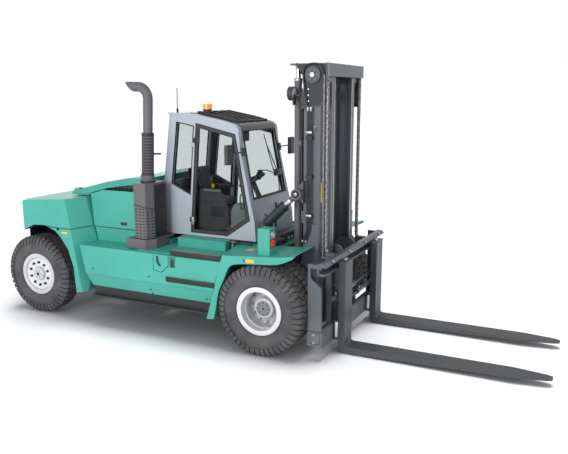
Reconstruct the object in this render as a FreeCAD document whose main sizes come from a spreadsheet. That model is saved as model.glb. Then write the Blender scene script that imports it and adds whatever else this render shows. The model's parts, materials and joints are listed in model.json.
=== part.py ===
import FreeCAD, Part
import math
import os

import Sketcher

# Heavy counterbalance forklift truck, in millimetres.
# All outlines are drawn from the middle of the front axle, on the ground: +X towards the fork tips,
# +Z up, +Y to the driver's left. Each sub-part is then set forward by front_axle_x, which puts the
# origin under the middle of the whole truck.

DRIVING_SIZES = {
    # wheels and axles
    "front_axle_x": 615, "wheelbase": 3670, "tyre_radius": 562.5, "tyre_width": 295, "bead_radius": 256,
    "flange_radius": 300, "outer_tyre_y": 1122.5, "inner_tyre_y": 795, "rear_tyre_y": 990,
    "kingpin_y": 800, "kingpin_radius": 40,
    # chassis
    "rear_end_x": -4500, "rear_half": 470, "corner_run": 650, "hitch_reach": 62,
    "beam_y": 345, "beam_thick": 45, "beam_low_z": 420, "beam_top_z": 1040,
    "side_y": 1250, "box_rear_x": -2755, "box_front_x": -530, "box_top_z": 1108, "box_low_z": 550,
    "deck_z": 1118, "front_deck_z": 1210, "fender_inner_y": 625,
    # counterweight and engine bay
    "weight_side_y": 1200, "weight_front_x": -2736, "hood_seam_z": 1315, "hood_side_y": 900,
    "hood_top_y": 850, "hood_front_x": -1930, "hood_wall": 30, "hood_hinge_x": -3205, "hood_hinge_z": 1748,
    # cab
    "cab_y": 575, "cab_roof_y": 560, "cab_floor_z": 1245, "cab_roof_z": 2868, "cab_wall": 40,
    "door_gap": 6, "glass_thick": 8,
    # mast
    "tilt_pivot_x": 200, "tilt_pivot_z": 620, "pivot_radius": 40, "pivot_bracket_y": 382,
    "upright_rear_x": 285, "upright_front_x": 500,
    "upright_y": 583, "upright_web": 36, "upright_flange": 30, "upright_inner_y": 430,
    "upright_low_z": 240, "upright_top_z": 3180, "rail_rear_x": 332, "rail_front_x": 566,
    "rail_web_outer_y": 398, "rail_web": 30, "rail_flange": 28, "rail_inner_y": 290,
    "rail_low_z": 260, "mast_top_z": 3470, "mast_clearance": 5,
    "lift_cylinder_x": 172, "lift_cylinder_y": 500, "lift_barrel_radius": 45, "lift_rod_radius": 30,
    "sheave_x": 455, "sheave_z": 3318, "sheave_y": 556, "sheave_radius": 112, "chain_thick": 24,
    "tilt_cylinder_y": 700, "tilt_eye_x": 251, "tilt_eye_z": 1926, "tilt_anchor_x": -185,
    "tilt_anchor_z": 1508, "tilt_barrel_radius": 62, "tilt_rod_radius": 36, "tilt_pin_radius": 22,
    # carriage and forks
    "carriage_half": 1100, "carriage_top_z": 1180, "fork_y": 607, "fork_face_x": 906, "fork_thick": 86,
    "fork_tip_x": 3270, "fork_top_z": 1140, "blade_top_z": 90, "blade_low_z": 12,
}

doc = FreeCAD.newDocument("Forklift")
sheet = doc.addObject("Spreadsheet::Sheet", "Sizes")
for row, (alias, value) in enumerate(DRIVING_SIZES.items(), start=1):
    sheet.set(f"A{row}", alias)
    sheet.set(f"B{row}", str(value))
    sheet.setAlias(f"B{row}", alias)
doc.recompute()


class Size:
    """A length: its value in millimetres, and the spreadsheet expression that gives it."""

    def __init__(self, value, text):
        self.value = value
        self.text = text

    def __add__(self, other):
        other = size(other)
        return Size(self.value + other.value, f"({self.text} + {other.text})")

    def __sub__(self, other):
        other = size(other)
        return Size(self.value - other.value, f"({self.text} - {other.text})")

    def __mul__(self, other):
        other = size(other)
        return Size(self.value * other.value, f"({self.text} * {other.text})")

    def __neg__(self):
        return size(0) - self

    __radd__ = __add__
    __rmul__ = __mul__

    def __rsub__(self, other):
        return size(other) - self


def size(value):
    """The value as a Size; a plain number is its own expression."""
    return value if isinstance(value, Size) else Size(float(value), f"{float(value):.6g}")


class Sheet:
    """Reads a driving dimension of the spreadsheet by its alias."""

    def __getattr__(self, alias):
        return Size(float(sheet.get(alias)), f"Sizes.{alias}")


S = Sheet()
SIDES = {"left": 1, "right": -1}
rear_axle_x = -S.wheelbase


def bind(target, path, length):
    """Ties a property to its expression, or just sets it where it is a plain number."""
    target.setExpression(path, size(length).text)


def side_span(side, inner, outer):
    """The y range between two distances from the middle plane, on the left (1) or right (-1)."""
    return (size(inner), size(outer)) if side > 0 else (-size(outer), -size(inner))


class Corner:
    """An outline's corner, rounded to a radius."""

    def __init__(self, across, up, radius):
        self.across, self.up, self.radius = size(across), size(up), size(radius)


def as_corner(point):
    return point if isinstance(point, Corner) else Corner(point[0], point[1], 0)


def draw_outline(sketch, outline):
    """Draws a closed outline of straight lines, with rounded corners where they are given."""
    corners = [as_corner(point) for point in outline]
    vertices = [FreeCAD.Vector(c.across.value, c.up.value, 0) for c in corners]
    count = len(corners)
    cuts = []
    for i, corner in enumerate(corners):
        back = (vertices[i - 1] - vertices[i]).normalize()
        ahead = (vertices[(i + 1) % count] - vertices[i]).normalize()
        half_angle = back.getAngle(ahead) / 2
        reach = corner.radius.value / math.tan(half_angle) if corner.radius.value else 0
        cuts.append((vertices[i] + back * reach, vertices[i] + ahead * reach, back, ahead, half_angle))
    lines = [sketch.addGeometry(Part.LineSegment(cuts[i][1], cuts[(i + 1) % count][0]), False)
             for i in range(count)]
    for i, corner in enumerate(corners):
        before, after = lines[i - 1], lines[i]
        if not corner.radius.value:
            sketch.addConstraint(Sketcher.Constraint("Coincident", before, 2, after, 1))
            spot = (after, 1)
        else:
            start, end, back, ahead, half_angle = cuts[i]
            middle_way = (back + ahead).normalize()
            centre = vertices[i] + middle_way * (corner.radius.value / math.sin(half_angle))
            near = centre - middle_way * corner.radius.value
            arc = sketch.addGeometry(Part.Arc(start, near, end), False)
            turns_left = back.cross(ahead).z < 0
            first, last = (1, 2) if turns_left else (2, 1)
            sketch.addConstraint(Sketcher.Constraint("Tangent", before, 2, arc, first))
            sketch.addConstraint(Sketcher.Constraint("Tangent", after, 1, arc, last))
            radius = sketch.addConstraint(Sketcher.Constraint("Radius", arc, corner.radius.value))
            sketch.setExpression(f"Constraints[{radius}]", corner.radius.text)
            point = sketch.addGeometry(Part.Point(vertices[i]), True)
            sketch.addConstraint(Sketcher.Constraint("PointOnObject", point, 1, before))
            sketch.addConstraint(Sketcher.Constraint("PointOnObject", point, 1, after))
            spot = (point, 1)
        for kind, length in (("DistanceX", corner.across), ("DistanceY", corner.up)):
            index = sketch.addConstraint(Sketcher.Constraint(kind, -1, 1, *spot, length.value))
            if "Sizes" in length.text:
                sketch.setExpression(f"Constraints[{index}]", length.text)


class Piece:
    """A PartDesign body built from outlines on its own origin planes."""

    # The plane of each kind of outline, and the way its normal runs along its own axis.
    PLANES = {"side": ("XZ_Plane", -1), "plan": ("XY_Plane", 1), "front": ("YZ_Plane", 1)}

    def __init__(self, name):
        self.body = doc.addObject("PartDesign::Body", name)

    def outline(self, view, points, level):
        """A sketch of the outline in the plane of that view, level along the view's axis."""
        role, way = self.PLANES[view]
        sketch = self.body.newObject("Sketcher::SketchObject", "Outline")
        plane = [item for item in self.body.Origin.OriginFeatures if item.Role == role][0]
        sketch.AttachmentSupport = (plane, "")
        sketch.MapMode = "FlatFace"
        bind(sketch, "AttachmentOffset.Base.z", level * way)
        draw_outline(sketch, points)
        return sketch

    def add(self, view, points, low, high, lean=None):
        """Adds the outline's solid from low to high along the axis it is looked at along.

        A lean is the direction to pull the outline in where it isn't square to its plane."""
        low, high = size(low), size(high)
        start = low if self.PLANES[view][1] > 0 else high
        pad = self.body.newObject("PartDesign::Pad", "Pad")
        pad.Profile = self.outline(view, points, start)
        bind(pad, "Length", high - low)
        if lean:
            pad.UseCustomVector = True
            pad.Direction = FreeCAD.Vector(*lean)
        return self

    def cut(self, view, points, low, high):
        """Cuts the outline out from low to high."""
        low, high = size(low), size(high)
        start = high if self.PLANES[view][1] > 0 else low
        pocket = self.body.newObject("PartDesign::Pocket", "Pocket")
        pocket.Profile = self.outline(view, points, start)
        bind(pocket, "Length", high - low)
        return self

    def spin(self, points):
        """Adds a solid turned about the Y axis; points are (y, radius)."""
        turned = self.body.newObject("PartDesign::Revolution", "Revolution")
        sketch = self.outline("front", points, size(0))
        turned.Profile = sketch
        turned.ReferenceAxis = (sketch, ["H_Axis"])
        turned.Angle = 360
        return self


def box(name, x, y, z):
    """A Part box between pairs of limits."""
    solid = doc.addObject("Part::Box", name)
    for path, (low, high) in (("Length", x), ("Width", y), ("Height", z)):
        bind(solid, path, size(high) - size(low))
    for axis, (low, _) in zip("xyz", (x, y, z)):
        bind(solid, f"Placement.Base.{axis}", low)
    return solid


def cylinder(name, axis, at, radius, low, high):
    """A Part cylinder along an axis; at holds its other two coordinates, in X, Y, Z order."""
    solid = doc.addObject("Part::Cylinder", name)
    bind(solid, "Radius", radius)
    bind(solid, "Height", size(high) - size(low))
    turn = {"X": ((0, 1, 0), 90), "Y": ((1, 0, 0), -90), "Z": ((0, 0, 1), 0)}[axis]
    solid.Placement.Rotation = FreeCAD.Rotation(FreeCAD.Vector(*turn[0]), turn[1])
    others = [letter for letter in "XYZ" if letter != axis]
    for letter, length in list(zip(others, at)) + [(axis, low)]:
        bind(solid, f"Placement.Base.{letter.lower()}", length)
    return solid


def solid_of(item):
    return item.body if isinstance(item, Piece) else item


def fuse(name, items):
    """One solid, or several that don't touch, from several."""
    joined = doc.addObject("Part::MultiFuse", name)
    joined.Shapes = [solid_of(item) for item in items]
    joined.Refine = True
    return joined


def cut(name, base, tools):
    """The base with all the tools taken out of it."""
    tools = [solid_of(item) for item in tools]
    result = doc.addObject("Part::Cut", name)
    result.Base = solid_of(base)
    result.Tool = tools[0] if len(tools) == 1 else fuse(name + "Tools", tools)
    return result


def common(name, items):
    shared = doc.addObject("Part::MultiCommon", name)
    shared.Shapes = [solid_of(item) for item in items]
    return shared


def bar(name, start, end, radius):
    """A round bar between two points of a plane of constant y."""
    start, end = [[size(value) for value in point] for point in (start, end)]
    run = [b.value - a.value for a, b in zip(start, end)]
    length = math.hypot(run[0], run[2])
    solid = doc.addObject("Part::Cylinder", name)
    bind(solid, "Radius", size(radius))
    solid.Height = length
    way = FreeCAD.Vector(*run)
    solid.Placement.Rotation = FreeCAD.Rotation(FreeCAD.Vector(0, 0, 1), way)
    for axis, value in zip("xyz", start):
        bind(solid, f"Placement.Base.{axis}", value)
    return solid


def bent_tube(name, points, bends, radius):
    """A round tube along straight runs with tangent arcs of the given bend radii."""
    points = [FreeCAD.Vector(*point) for point in points]
    edges = []
    last = points[0]
    for i in range(1, len(points) - 1):
        back = (points[i - 1] - points[i]).normalize()
        ahead = (points[i + 1] - points[i]).normalize()
        half_angle = back.getAngle(ahead) / 2
        reach = bends[i - 1] / math.tan(half_angle)
        start, end = points[i] + back * reach, points[i] + ahead * reach
        middle_way = (back + ahead).normalize()
        near = points[i] + middle_way * (bends[i - 1] / math.sin(half_angle) - bends[i - 1])
        edges.append(Part.LineSegment(last, start).toShape())
        edges.append(Part.Arc(start, near, end).toShape())
        last = end
    edges.append(Part.LineSegment(last, points[-1]).toShape())
    path = Part.Wire(edges)
    ring = Part.Wire(Part.Circle(points[0], points[1] - points[0], radius).toShape())
    tube = doc.addObject("Part::Feature", name)
    tube.Shape = path.makePipeShell([ring], True, True)
    return tube


nodes = {}


def keep(label, item, at=None):
    """Names a finished sub-part, a body or a boolean, and sets it at its place in the truck."""
    item = solid_of(item)
    if item.TypeId in ("Part::Box", "Part::Cylinder", "Part::Torus"):
        raise TypeError(f"{label} is a primitive with a place of its own")
    item.Label = label
    place = at or (size(0), size(0), size(0))
    for axis, value in zip("xyz", (S.front_axle_x + place[0], size(place[1]), size(place[2]))):
        bind(item, f"Placement.Base.{axis}", value)
    nodes[label] = item


# ---------------------------------------------------------------- wheels and axles

LUGS = 46
GROOVE_DEPTH = 22
GROOVE_SHARE = 0.26


def lug_ring(name, low, high):
    """A toothed ring wider than the tyre, whose gaps are the grooves between the tread's lugs."""
    pitch = 2 * math.pi / LUGS
    groove = pitch * GROOVE_SHARE / 2
    root = S.tyre_radius.value - GROOVE_DEPTH
    tip = S.tyre_radius.value + GROOVE_DEPTH
    outline = []
    for i in range(LUGS):
        for angle, radius in ((i * pitch - groove, root), (i * pitch + groove, root),
                              (i * pitch + groove, tip), ((i + 1) * pitch - groove, tip)):
            outline.append(FreeCAD.Vector(radius * math.cos(angle), 0, radius * math.sin(angle)))
    teeth = doc.addObject("Part::Polygon", name + "Outline")
    teeth.Nodes = outline
    teeth.Close = True
    solid = doc.addObject("Part::Extrusion", name)
    solid.Base = teeth
    solid.Dir = FreeCAD.Vector(0, 1, 0)
    solid.Solid = True
    bind(solid, "LengthFwd", high - low)
    bind(solid, "Placement.Base.y", low)
    return solid


def tyre(name, middle):
    """A ring with bulged side walls and a shoulder that the tread's grooves run out through."""
    half = S.tyre_width * 0.5
    bead = half - 41
    ring = Piece(name).spin([
        (middle - bead, S.bead_radius), (middle + bead, S.bead_radius),
        (middle + bead, S.flange_radius + 3), (middle + half - 4, S.flange_radius + 24),
        (middle + half, S.tyre_radius - 95),
        (middle + half - 14, S.tyre_radius - 22), (middle + half - 45, S.tyre_radius),
        (middle - half + 45, S.tyre_radius), (middle - half + 14, S.tyre_radius - 22),
        (middle - half, S.tyre_radius - 95), (middle - half + 4, S.flange_radius + 24),
        (middle - bead, S.flange_radius + 3)])
    return common(name + "Treaded", [ring, lug_ring(name + "Lugs", middle - half - 5, middle + half + 5)])


def front_wheel(side, label):
    """Twin tyres on one long rim, with the planet hub standing out of its dish."""
    tyres = [tyre(f"FrontTyre{label}{i}", S.outer_tyre_y * side if i else S.inner_tyre_y * side)
             for i in (0, 1)]
    keep(f"front_tyres_{label}", fuse(f"FrontTyres{label}", tyres), (0, 0, S.tyre_radius))
    bead = S.bead_radius - 1
    inner, outer = S.inner_tyre_y, S.outer_tyre_y
    seat = S.tyre_width * 0.5 - 22
    rim = Piece(f"FrontRim{label}").spin([(side * y, r) for y, r in (
        (inner - seat, bead - 14), (outer + seat, bead - 14), (outer + seat, S.flange_radius),
        (outer + seat - 12, S.flange_radius), (outer + seat - 18, bead), (inner - seat + 18, bead),
        (inner - seat + 12, S.flange_radius), (inner - seat, S.flange_radius))])
    disc = Piece(f"FrontDisc{label}").spin([(side * y, r) for y, r in (
        (size(962), 165), (size(1010), 165), (size(985), bead - 13), (size(962), bead - 13))])
    hub = Piece(f"FrontHub{label}").spin([(side * y, r) for y, r in (
        (size(700), 0), (size(1120), 0), (size(1120), 105), (size(1108), 124), (size(1030), 130),
        (size(1018), 165), (size(960), 165), (size(945), 190), (size(700), 190))])
    keep(f"front_rims_{label}", fuse(f"FrontRims{label}", [rim, disc, hub]), (0, 0, S.tyre_radius))


def rear_wheel(side, label):
    """A single tyre on a rim whose disc lies near its outer face."""
    keep(f"rear_tyre_{label}", tyre(f"RearTyre{label}", S.rear_tyre_y * side),
         (rear_axle_x, 0, S.tyre_radius))
    bead = S.bead_radius - 1
    middle = S.rear_tyre_y
    seat = S.tyre_width * 0.5 - 22
    rim = Piece(f"RearRim{label}").spin([(side * y, r) for y, r in (
        (middle - seat, bead - 14), (middle + seat - 60, bead - 14), (middle + seat - 60, 0),
        (middle + seat - 44, 0), (middle + seat - 44, bead - 20), (middle + seat, bead - 14),
        (middle + seat, S.flange_radius), (middle + seat - 12, S.flange_radius),
        (middle + seat - 18, bead), (middle - seat + 18, bead),
        (middle - seat + 12, S.flange_radius), (middle - seat, S.flange_radius))])
    cap = Piece(f"RearCap{label}").spin([(side * y, r) for y, r in (
        (middle + seat - 46, 0), (middle + seat + 6, 0), (middle + seat + 6, 70),
        (middle + seat - 4, 92), (middle + seat - 46, 96))])
    keep(f"rear_rim_{label}", fuse(f"RearRims{label}", [rim, cap]), (rear_axle_x, 0, S.tyre_radius))


for label, side in SIDES.items():
    front_wheel(side, label)
    rear_wheel(side, label)

drive_axle = Piece("DriveAxle").spin([
    (-692, 0), (692, 0), (692, 175), (660, 175), (620, 104.5), (298, 104.5), (230, 205), (-230, 205),
    (-298, 104.5), (-620, 104.5), (-660, 175), (-692, 175)])
keep("drive_axle", drive_axle, (0, 0, S.tyre_radius))


def steer_axle():
    """A box beam with a fork for the kingpin at each end and the steering cylinder along its rear."""
    half = S.kingpin_y
    beam = Piece("SteerBeam").add("front", [
        (-half - 70, -140), (-half + 60, -140), (-half + 150, -110), (half - 150, -110),
        (half - 60, -140), (half + 70, -140), (half + 70, 140), (half - 60, 140),
        (half - 150, 110), (150, 150), (-150, 150), (-half + 150, 110), (-half + 60, 140),
        (-half - 70, 140)], -95, 95)
    plan = Piece("SteerBeamPlan").add("plan", [
        (-95, -half + 90), Corner(-58, -half - 62, 56), Corner(58, -half - 62, 56), (95, -half + 90),
        (95, half - 90), Corner(58, half + 62, 56), Corner(-58, half + 62, 56), (-95, half - 90)],
        -150, 150)
    for side in SIDES.values():
        low, high = side_span(side, half - 62, half + 80)
        beam.cut("side", [(-100, -98), (100, -98), (100, 98), (-100, 98)], low, high)
    bores = [cylinder("KingpinBore", "Z", (size(0), half * side), S.kingpin_radius + 0.06, -150, 150)
             for side in SIDES.values()]
    return cut("SteerAxle", common("SteerBeamForm", [beam, plan]), bores)


keep("steer_axle", steer_axle(), (rear_axle_x, 0, S.tyre_radius))


def knuckle(side, label):
    """The kingpin, the block it turns in the beam's fork, and the stub that carries the wheel."""
    middle = S.kingpin_y * side
    pin = cylinder("Kingpin", "Z", (size(0), middle), S.kingpin_radius, -150, 150)
    block = cylinder("KnuckleBlock", "Z", (size(0), middle), 58, -93, 93)
    low, high = side_span(side, S.kingpin_y, S.rear_tyre_y + 65)
    stub = cylinder("Stub", "Y", (size(0), size(0)), 52, low, high)
    low, high = side_span(side, S.kingpin_y + 75, S.kingpin_y + 130)
    drum = cylinder("Flange", "Y", (size(0), size(0)), 150, low, high)
    keep(f"knuckle_{label}", fuse(f"Knuckle{label}", [pin, block, stub, drum]),
         (rear_axle_x, 0, S.tyre_radius))


for label, side in SIDES.items():
    knuckle(side, label)

# ---------------------------------------------------------------- chassis
def chassis_frame():
    """Two deep side beams with cross-members, and brackets for the axles, mast and tilt cylinders."""
    parts = []
    for side in SIDES.values():
        low, high = side_span(side, S.beam_y - S.beam_thick, S.beam_y)
        rear = S.rear_end_x + 520
        parts.append(Piece("Beam").add("side", [
            (rear, 760), (rear_axle_x - 260, 760), (rear_axle_x - 200, 720), (rear_axle_x + 200, 720),
            (rear_axle_x + 420, S.beam_low_z), (-420, S.beam_low_z), (-230, 330), (180, 330),
            (205, 500), (205, 640), (150, 760), (-70, 1000), (-70, 1260), (-250, 1260), (-250, 1080),
            (-700, 1080), (-760, S.beam_top_z), (rear, S.beam_top_z)], low, high))
        # mast pivot bearing beside the drive axle
        low, high = side_span(side, S.beam_y - 10, S.pivot_bracket_y)
        parts.append(Piece("PivotBracket").add("side", [
            (-230, 400), (150, 400), Corner(265, 540, 60), Corner(265, 700, 60), (100, 760),
            (-230, 760)], low, high))
    inside = (-S.beam_y + 20, S.beam_y - 20)
    for name, x, z in (("FrontTie", (-330, -255), (330, 1075)), ("CabTie", (-720, -680), (430, 1075)),
                       ("EngineTie", (-1750, -1700), (430, 1000)), ("RearTie", (-3300, -3240), (760, 1030)),
                       ("BellyPlate", (-1750, -330), (430, 445))):
        parts.append(box(name, x, inside, z))
    # saddle that the steer axle rocks in
    parts.append(box("AxleSaddle", (rear_axle_x - 150, rear_axle_x + 150), inside, (725, 900)))
    frame = fuse("FrameWelded", parts)
    bores = []
    for side in SIDES.values():
        low, high = side_span(side, S.beam_y - 100, S.pivot_bracket_y + 20)
        bores.append(cylinder("PivotBore", "Y", (S.tilt_pivot_x, S.tilt_pivot_z), S.pivot_radius + 0.06,
                              low, high))
    bores.append(cylinder("AxleSeat", "Y", (size(0), S.tyre_radius), 105, -560, 560))
    bores.append(cylinder("AxleBulge", "Y", (size(0), S.tyre_radius), 206, -240, 240))
    return cut("ChassisFrame", frame, bores)


keep("chassis_frame", chassis_frame())


def tilt_bracket(side):
    """An outrigger on the frame's shoulder, and the clevis and pin that a tilt cylinder pulls on."""
    parts = [box("Outrigger", (-250, -70), side_span(side, S.beam_y, 786), (1248, 1285)),
             cylinder("AnchorPin", "Y", (S.tilt_anchor_x, S.tilt_anchor_z), S.tilt_pin_radius,
                      *side_span(side, 606, 794))]
    for inner, outer in ((614, 634), (766, 786)):
        parts.append(Piece("TiltBracket").add("side", [
            (-250, 1250), (-70, 1250), (-80, 1330), (-125, 1490),
            Corner(-145, 1556, 30), Corner(-225, 1556, 30), (-245, 1500)],
            *side_span(side, inner, outer)))
    return parts


keep("tilt_brackets", fuse("TiltBrackets", [part for side in SIDES.values() for part in tilt_bracket(side)]))


WEIGHT_LEAN = (-113, 0, 658)
CHEEK_DEPTH = 159


def counterweight():
    """The cast rear weight: cheeks over the steered wheels, a keel between them and a radiator duct."""
    rear = S.rear_end_x + S.hitch_reach
    front = S.weight_front_x
    upper = Piece("WeightUpper").add("plan", [
        (rear, -S.rear_half), (rear, S.rear_half), (rear + S.corner_run, S.weight_side_y),
        (front, S.weight_side_y), (front, -S.weight_side_y), (rear + S.corner_run, -S.weight_side_y)],
        380, 1760)
    # the front end leans back as it rises, and its cheeks turn in to the hood
    front_form = Piece("WeightFront").add("plan", [
        (rear - 400, -1300), (rear - 400, 1300), (front + 125 - CHEEK_DEPTH * 4 / 3, 1300),
        (front + 125, S.hood_side_y),
        (front + 125, -S.hood_side_y), (front + 125 - CHEEK_DEPTH * 4 / 3, -1300)],
        380, 1800, WEIGHT_LEAN)
    side_form = Piece("WeightSide").add("side", [
        (rear, 640), (rear, 1495), (rear + 260, 1580), (-3620, 1668), (-2980, 1713), (-2858, 1720),
        (S.weight_front_x, 1115), (-2763, 1105), (-2640, 650), (-2700, 437), (-2885, 412), (-2912, 768),
        (-2990, 1013), (-3120, 1180), (-3205, 1254), (-3385, 1320), (-3596, 1312), (-3800, 1222),
        (-3862, 1222), (-4290, 1222), (-4290, 640)], -S.weight_side_y, S.weight_side_y)
    shape = common("WeightForm", [upper, front_form, side_form])
    keel = box("Keel", (rear + 140, -3960), (-299, 299), (640, 1230))
    bay = box("EngineRecess", (-3390, -2600), (-S.hood_side_y + 60, S.hood_side_y - 60), (380, 1230))
    bay_top = box("EngineRecessTop", (-3250, -2600), (-720, 720), (1000, 1800))
    duct = box("RadiatorDuct", (rear - 5, rear + 90), (-400, 400), (980, 1420))
    beams = [box("BeamRecess", (rear + 440, -2600), side_span(side, S.beam_y - S.beam_thick, S.beam_y),
                 (715, 1041)) for side in SIDES.values()]
    hinges = []
    for side in SIDES.values():
        low, high = side_span(side, 565, 625)
        hinges.append(cylinder("HoodKnuckle", "Y", (S.hood_hinge_x, S.hood_hinge_z), 14, low, high))
        hinges.append(box("HoodKnuckleFoot", (S.hood_hinge_x - 14, S.hood_hinge_x + 14), (low, high),
                          (1690, S.hood_hinge_z)))
    carved = cut("WeightCarved", fuse("WeightWhole", [shape, keel]), [bay, bay_top, duct] + beams)
    return fuse("Counterweight", [carved] + hinges)


keep("counterweight", counterweight())

# towing jaw at the foot of the counterweight
jaw_x = S.rear_end_x + 36
jaw = Piece("TowJaw").add("side", [
    (S.rear_end_x, 720), (S.rear_end_x + S.hitch_reach, 720), (S.rear_end_x + S.hitch_reach, 880),
    (S.rear_end_x, 880)], -85, 85)
jaw.cut("side", [(S.rear_end_x - 5, 765), (S.rear_end_x + S.hitch_reach - 4, 765),
                 (S.rear_end_x + S.hitch_reach - 4, 835), (S.rear_end_x - 5, 835)], -90, 90)
keep("tow_hitch", cut("TowHitch", jaw, [cylinder("TowPinBore", "Z", (jaw_x, size(0)), 18, 700, 900)]))

engine = Piece("EngineBlock").add("side", [
    (-2900, 560), (-2040, 560), (-1945, 700), (-1945, 1180), (-2060, 1500), (-2750, 1500),
    (-2900, 1300)], -280, 280)
keep("engine_block", engine)


def engine_side(side):
    """A side panel of the engine bay: upright up to its seam, then leaning in to the lid."""
    section = Piece("EngineSideSection").add("front", [(side * y, z) for y, z in (
        (S.hood_side_y - 20, S.box_top_z + 1), (S.hood_side_y - 20, S.hood_seam_z - 8),
        (S.hood_side_y, S.hood_seam_z), (S.hood_top_y, size(1822)), (S.hood_top_y - S.hood_wall, size(1822)),
        (S.hood_side_y - S.hood_wall, S.hood_seam_z), (S.hood_side_y - 50, S.hood_seam_z - 8),
        (S.hood_side_y - 50, S.box_top_z + 1))], -2860, S.hood_front_x)
    outline = Piece("EngineSideOutline").add("side", [
        (-2730, S.box_top_z + 1), (S.hood_front_x, S.box_top_z + 1), (S.hood_front_x, 1822),
        (-2630, 1822), (-2841, 1758)], -S.hood_side_y, S.hood_side_y)
    return common("EngineSide", [section, outline])


engine_front = Piece("EngineBulkhead").add("front", [
    (-S.hood_side_y + 20, S.box_top_z + 1), (S.hood_side_y - 20, S.box_top_z + 1),
    (S.hood_side_y - 20, S.hood_seam_z), (S.hood_top_y, 1822), (S.hood_top_y - 60, 1900),
    (-S.hood_top_y + 60, 1900), (-S.hood_top_y, 1822), (-S.hood_side_y + 20, S.hood_seam_z)],
    S.hood_front_x, S.hood_front_x + 25)
engine_sides = [engine_side(side) for side in SIDES.values()]
keep("engine_side_panels", fuse("EngineSides", engine_sides + [engine_front]))


def hood_lid():
    """The sloping lid over the engine, with short skirts; it hinges at its rear edge."""
    half = S.hood_top_y
    outer = Piece("LidOuter").add("side", [
        (-3180, 1726), (-3180, 1765), (-2980, 1823), (-2610, 1925), (-2280, 1985),
        (S.hood_front_x - 10, 2005), (S.hood_front_x - 10, 1925), (-2323, 1880), (-2630, 1829),
        (-2850, 1764), (-2880, 1730)], -half, half)
    inner = Piece("LidInner").add("side", [
        (-3160, 1690), (-3160, 1735), (-2980, 1790), (-2610, 1892), (-2280, 1952),
        (S.hood_front_x - 30, 1972), (S.hood_front_x - 30, 1860), (-2323, 1820),
        (-2860, 1690)], -half + 25, half - 25)
    slope = Piece("LidSlope").add("front", [
        (-half, 1650), (half, 1650), (half, 1835), (half - 150, 2020), (-half + 150, 2020),
        (-half, 1835)], -3200, S.hood_front_x)
    lid = cut("LidShell", common("LidForm", [outer, slope]), [inner])
    knuckles = []
    for side in SIDES.values():
        low, high = side_span(side, 500, 560)
        knuckles.append(cylinder("LidKnuckle", "Y", (S.hood_hinge_x, S.hood_hinge_z), 14, low, high))
        knuckles.append(box("LidLeaf", (S.hood_hinge_x, -3175), (low, high), (1738, 1760)))
    return fuse("HoodLid", [lid] + knuckles)


keep("hood_lid", hood_lid())


def grilles():
    """The radiator's slats in the rear duct, and a louvred wedge under each side of the lid."""
    rear = S.rear_end_x + S.hitch_reach
    parts = [box("RadiatorRail", (rear + 40, rear + 62), (y - 12, y + 12), (980, 1420))
             for y in (-388, -130, 130, 388)]
    for i in range(9):
        low_z = 995 + i * 47
        parts.append(Piece("RadiatorSlat").add("side", [
            (rear + 25, low_z), (rear + 60, low_z + 22), (rear + 60, low_z + 30), (rear + 25, low_z + 8)],
            -400, 400))
    for side in SIDES.values():
        low, high = side_span(side, S.hood_top_y - 58, S.hood_top_y - 46)
        wedge = Piece("LidWedge").add("side", [
            (-2700, 1760), (S.hood_front_x - 45, 1760), (S.hood_front_x - 45, 1918), (-2323, 1876),
            (-2640, 1824)], low, high)
        for i in range(7):
            x = -2440 + i * 60
            wedge.cut("side", [(x, 1828), (x + 34, 1828), (x + 34, 1862), (x, 1858)], low, high)
        parts.append(wedge)
    return fuse("Grilles", parts)


keep("hood_grilles", grilles())


def rear_lamp(side):
    """A lamp block on the slanting rear corner of the counterweight."""
    start = FreeCAD.Vector(S.rear_end_x.value + S.hitch_reach.value, S.rear_half.value * side, 0)
    run = FreeCAD.Vector(S.corner_run.value, (S.weight_side_y.value - S.rear_half.value) * side, 0)
    out = FreeCAD.Vector(-abs(run.y), S.corner_run.value * side, 0).normalize()
    corners = [start + run * share + out * depth
               for share, depth in ((0.25, 0.5), (0.45, 0.5), (0.45, 25), (0.25, 25))]
    return Piece("RearLamp").add("plan", [(corner.x, corner.y) for corner in corners], 1290, 1420)


keep("rear_lamps", fuse("RearLamps", [rear_lamp(side) for side in SIDES.values()]))

boxes = []
for side in SIDES.values():
    section = Piece("BoxSection").add("front", [
        (side * 470, S.box_low_z), (side * (S.side_y - 75), S.box_low_z),
        (side * (S.side_y - 15), S.box_low_z + 160), (side * S.side_y, S.box_low_z + 185),
        (side * (S.side_y - 25), S.box_top_z), (side * 470, S.box_top_z)], S.box_rear_x, S.box_front_x)
    outline = Piece("BoxSide").add("side", [
        (S.box_rear_x + 158, S.box_low_z), (-690, S.box_low_z), (-600, 860), (S.box_front_x, S.box_top_z),
        (S.box_rear_x, S.box_top_z)], -S.side_y, S.side_y)
    boxes.append(common("SideBox", [section, outline]))
keep("side_boxes", fuse("SideBoxes", boxes))


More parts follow.
